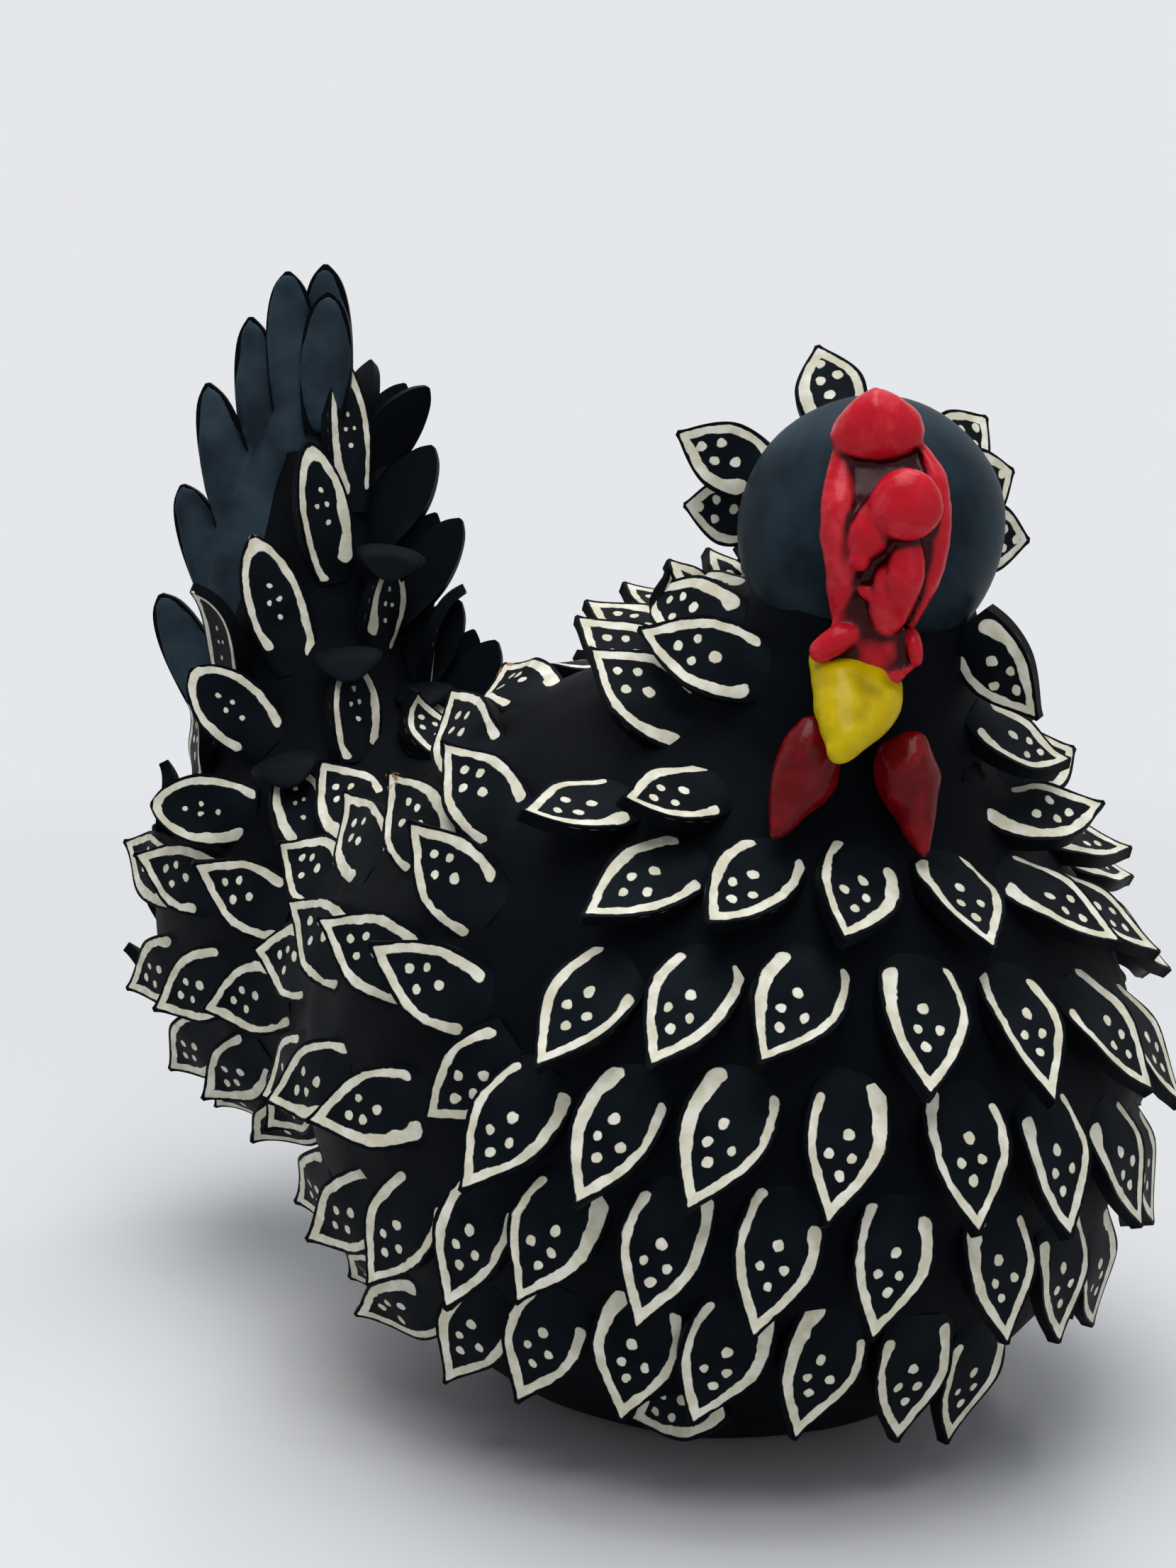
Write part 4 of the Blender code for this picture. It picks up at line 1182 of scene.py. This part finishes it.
class HEN_OT_stage(bpy.types.Operator):
    """Set the floor, backdrop, lights and camera"""
    bl_idname = "hen.stage"
    bl_label = "Stage"

    def execute(self, context):
        scene = context.scene
        pick_none()
        bpy.ops.mesh.primitive_plane_add(size=8.0, location=(0.0, 0.0, -0.0002))
        floor = context.object
        floor.name = "floor"
        floor.data.materials.append(pale_floor())
        scene.world = soft_room()
        for name, spot, size, power in LAMPS:
            lamp = bpy.data.lights.new(name, "AREA")
            lamp.size, lamp.energy = size, power
            obj = bpy.data.objects.new(name, lamp)
            scene.collection.objects.link(obj)
            obj.location = spot
            obj.rotation_euler = (Vector((0.0, 0.0, 0.06)) - Vector(spot)).to_track_quat("-Z", "Y").to_euler()
        camera = bpy.data.cameras.new("camera")
        camera.sensor_fit = "VERTICAL"
        camera.sensor_height = SENSOR
        camera.lens = SENSOR * FOCAL_PIXELS / PHOTO_HEIGHT
        view = bpy.data.objects.new("camera", camera)
        scene.collection.objects.link(view)
        view.location = to_frame(EYE)
        view.rotation_euler = [math.radians(a) for a in EYE_TURN]
        scene.camera = view
        scene.view_settings.view_transform = "Standard"
        return {"FINISHED"}


class HEN_PT_panel(bpy.types.Panel):
    """Lists the steps that dress the hen"""
    bl_label = "Clay Hen"
    bl_idname = "HEN_PT_panel"
    bl_space_type = "VIEW_3D"
    bl_region_type = "UI"
    bl_category = "Clay Hen"

    def draw(self, context):
        sizes = context.scene.hen_sizes
        for key in ("line_width", "dot_radius"):
            self.layout.prop(sizes, key)
        for step in STEPS:
            self.layout.operator(step.bl_idname)


STEPS = (HEN_OT_body, HEN_OT_head, HEN_OT_comb, HEN_OT_beak, HEN_OT_feathers, HEN_OT_fan, HEN_OT_stage)
CLASSES = (HenSizes, *STEPS, HEN_PT_panel)


def register():
    for cls in CLASSES:
        bpy.utils.register_class(cls)
    bpy.types.Scene.hen_sizes = bpy.props.PointerProperty(type=HenSizes)


def unregister():
    del bpy.types.Scene.hen_sizes
    for cls in reversed(CLASSES):
        bpy.utils.unregister_class(cls)


def main():
    register()
    bpy.ops.hen.body()
    bpy.ops.hen.head()
    bpy.ops.hen.comb()
    bpy.ops.hen.beak()
    bpy.ops.hen.feathers()
    bpy.ops.hen.fan()
    bpy.ops.hen.stage()


if __name__ == "__main__":
    main()
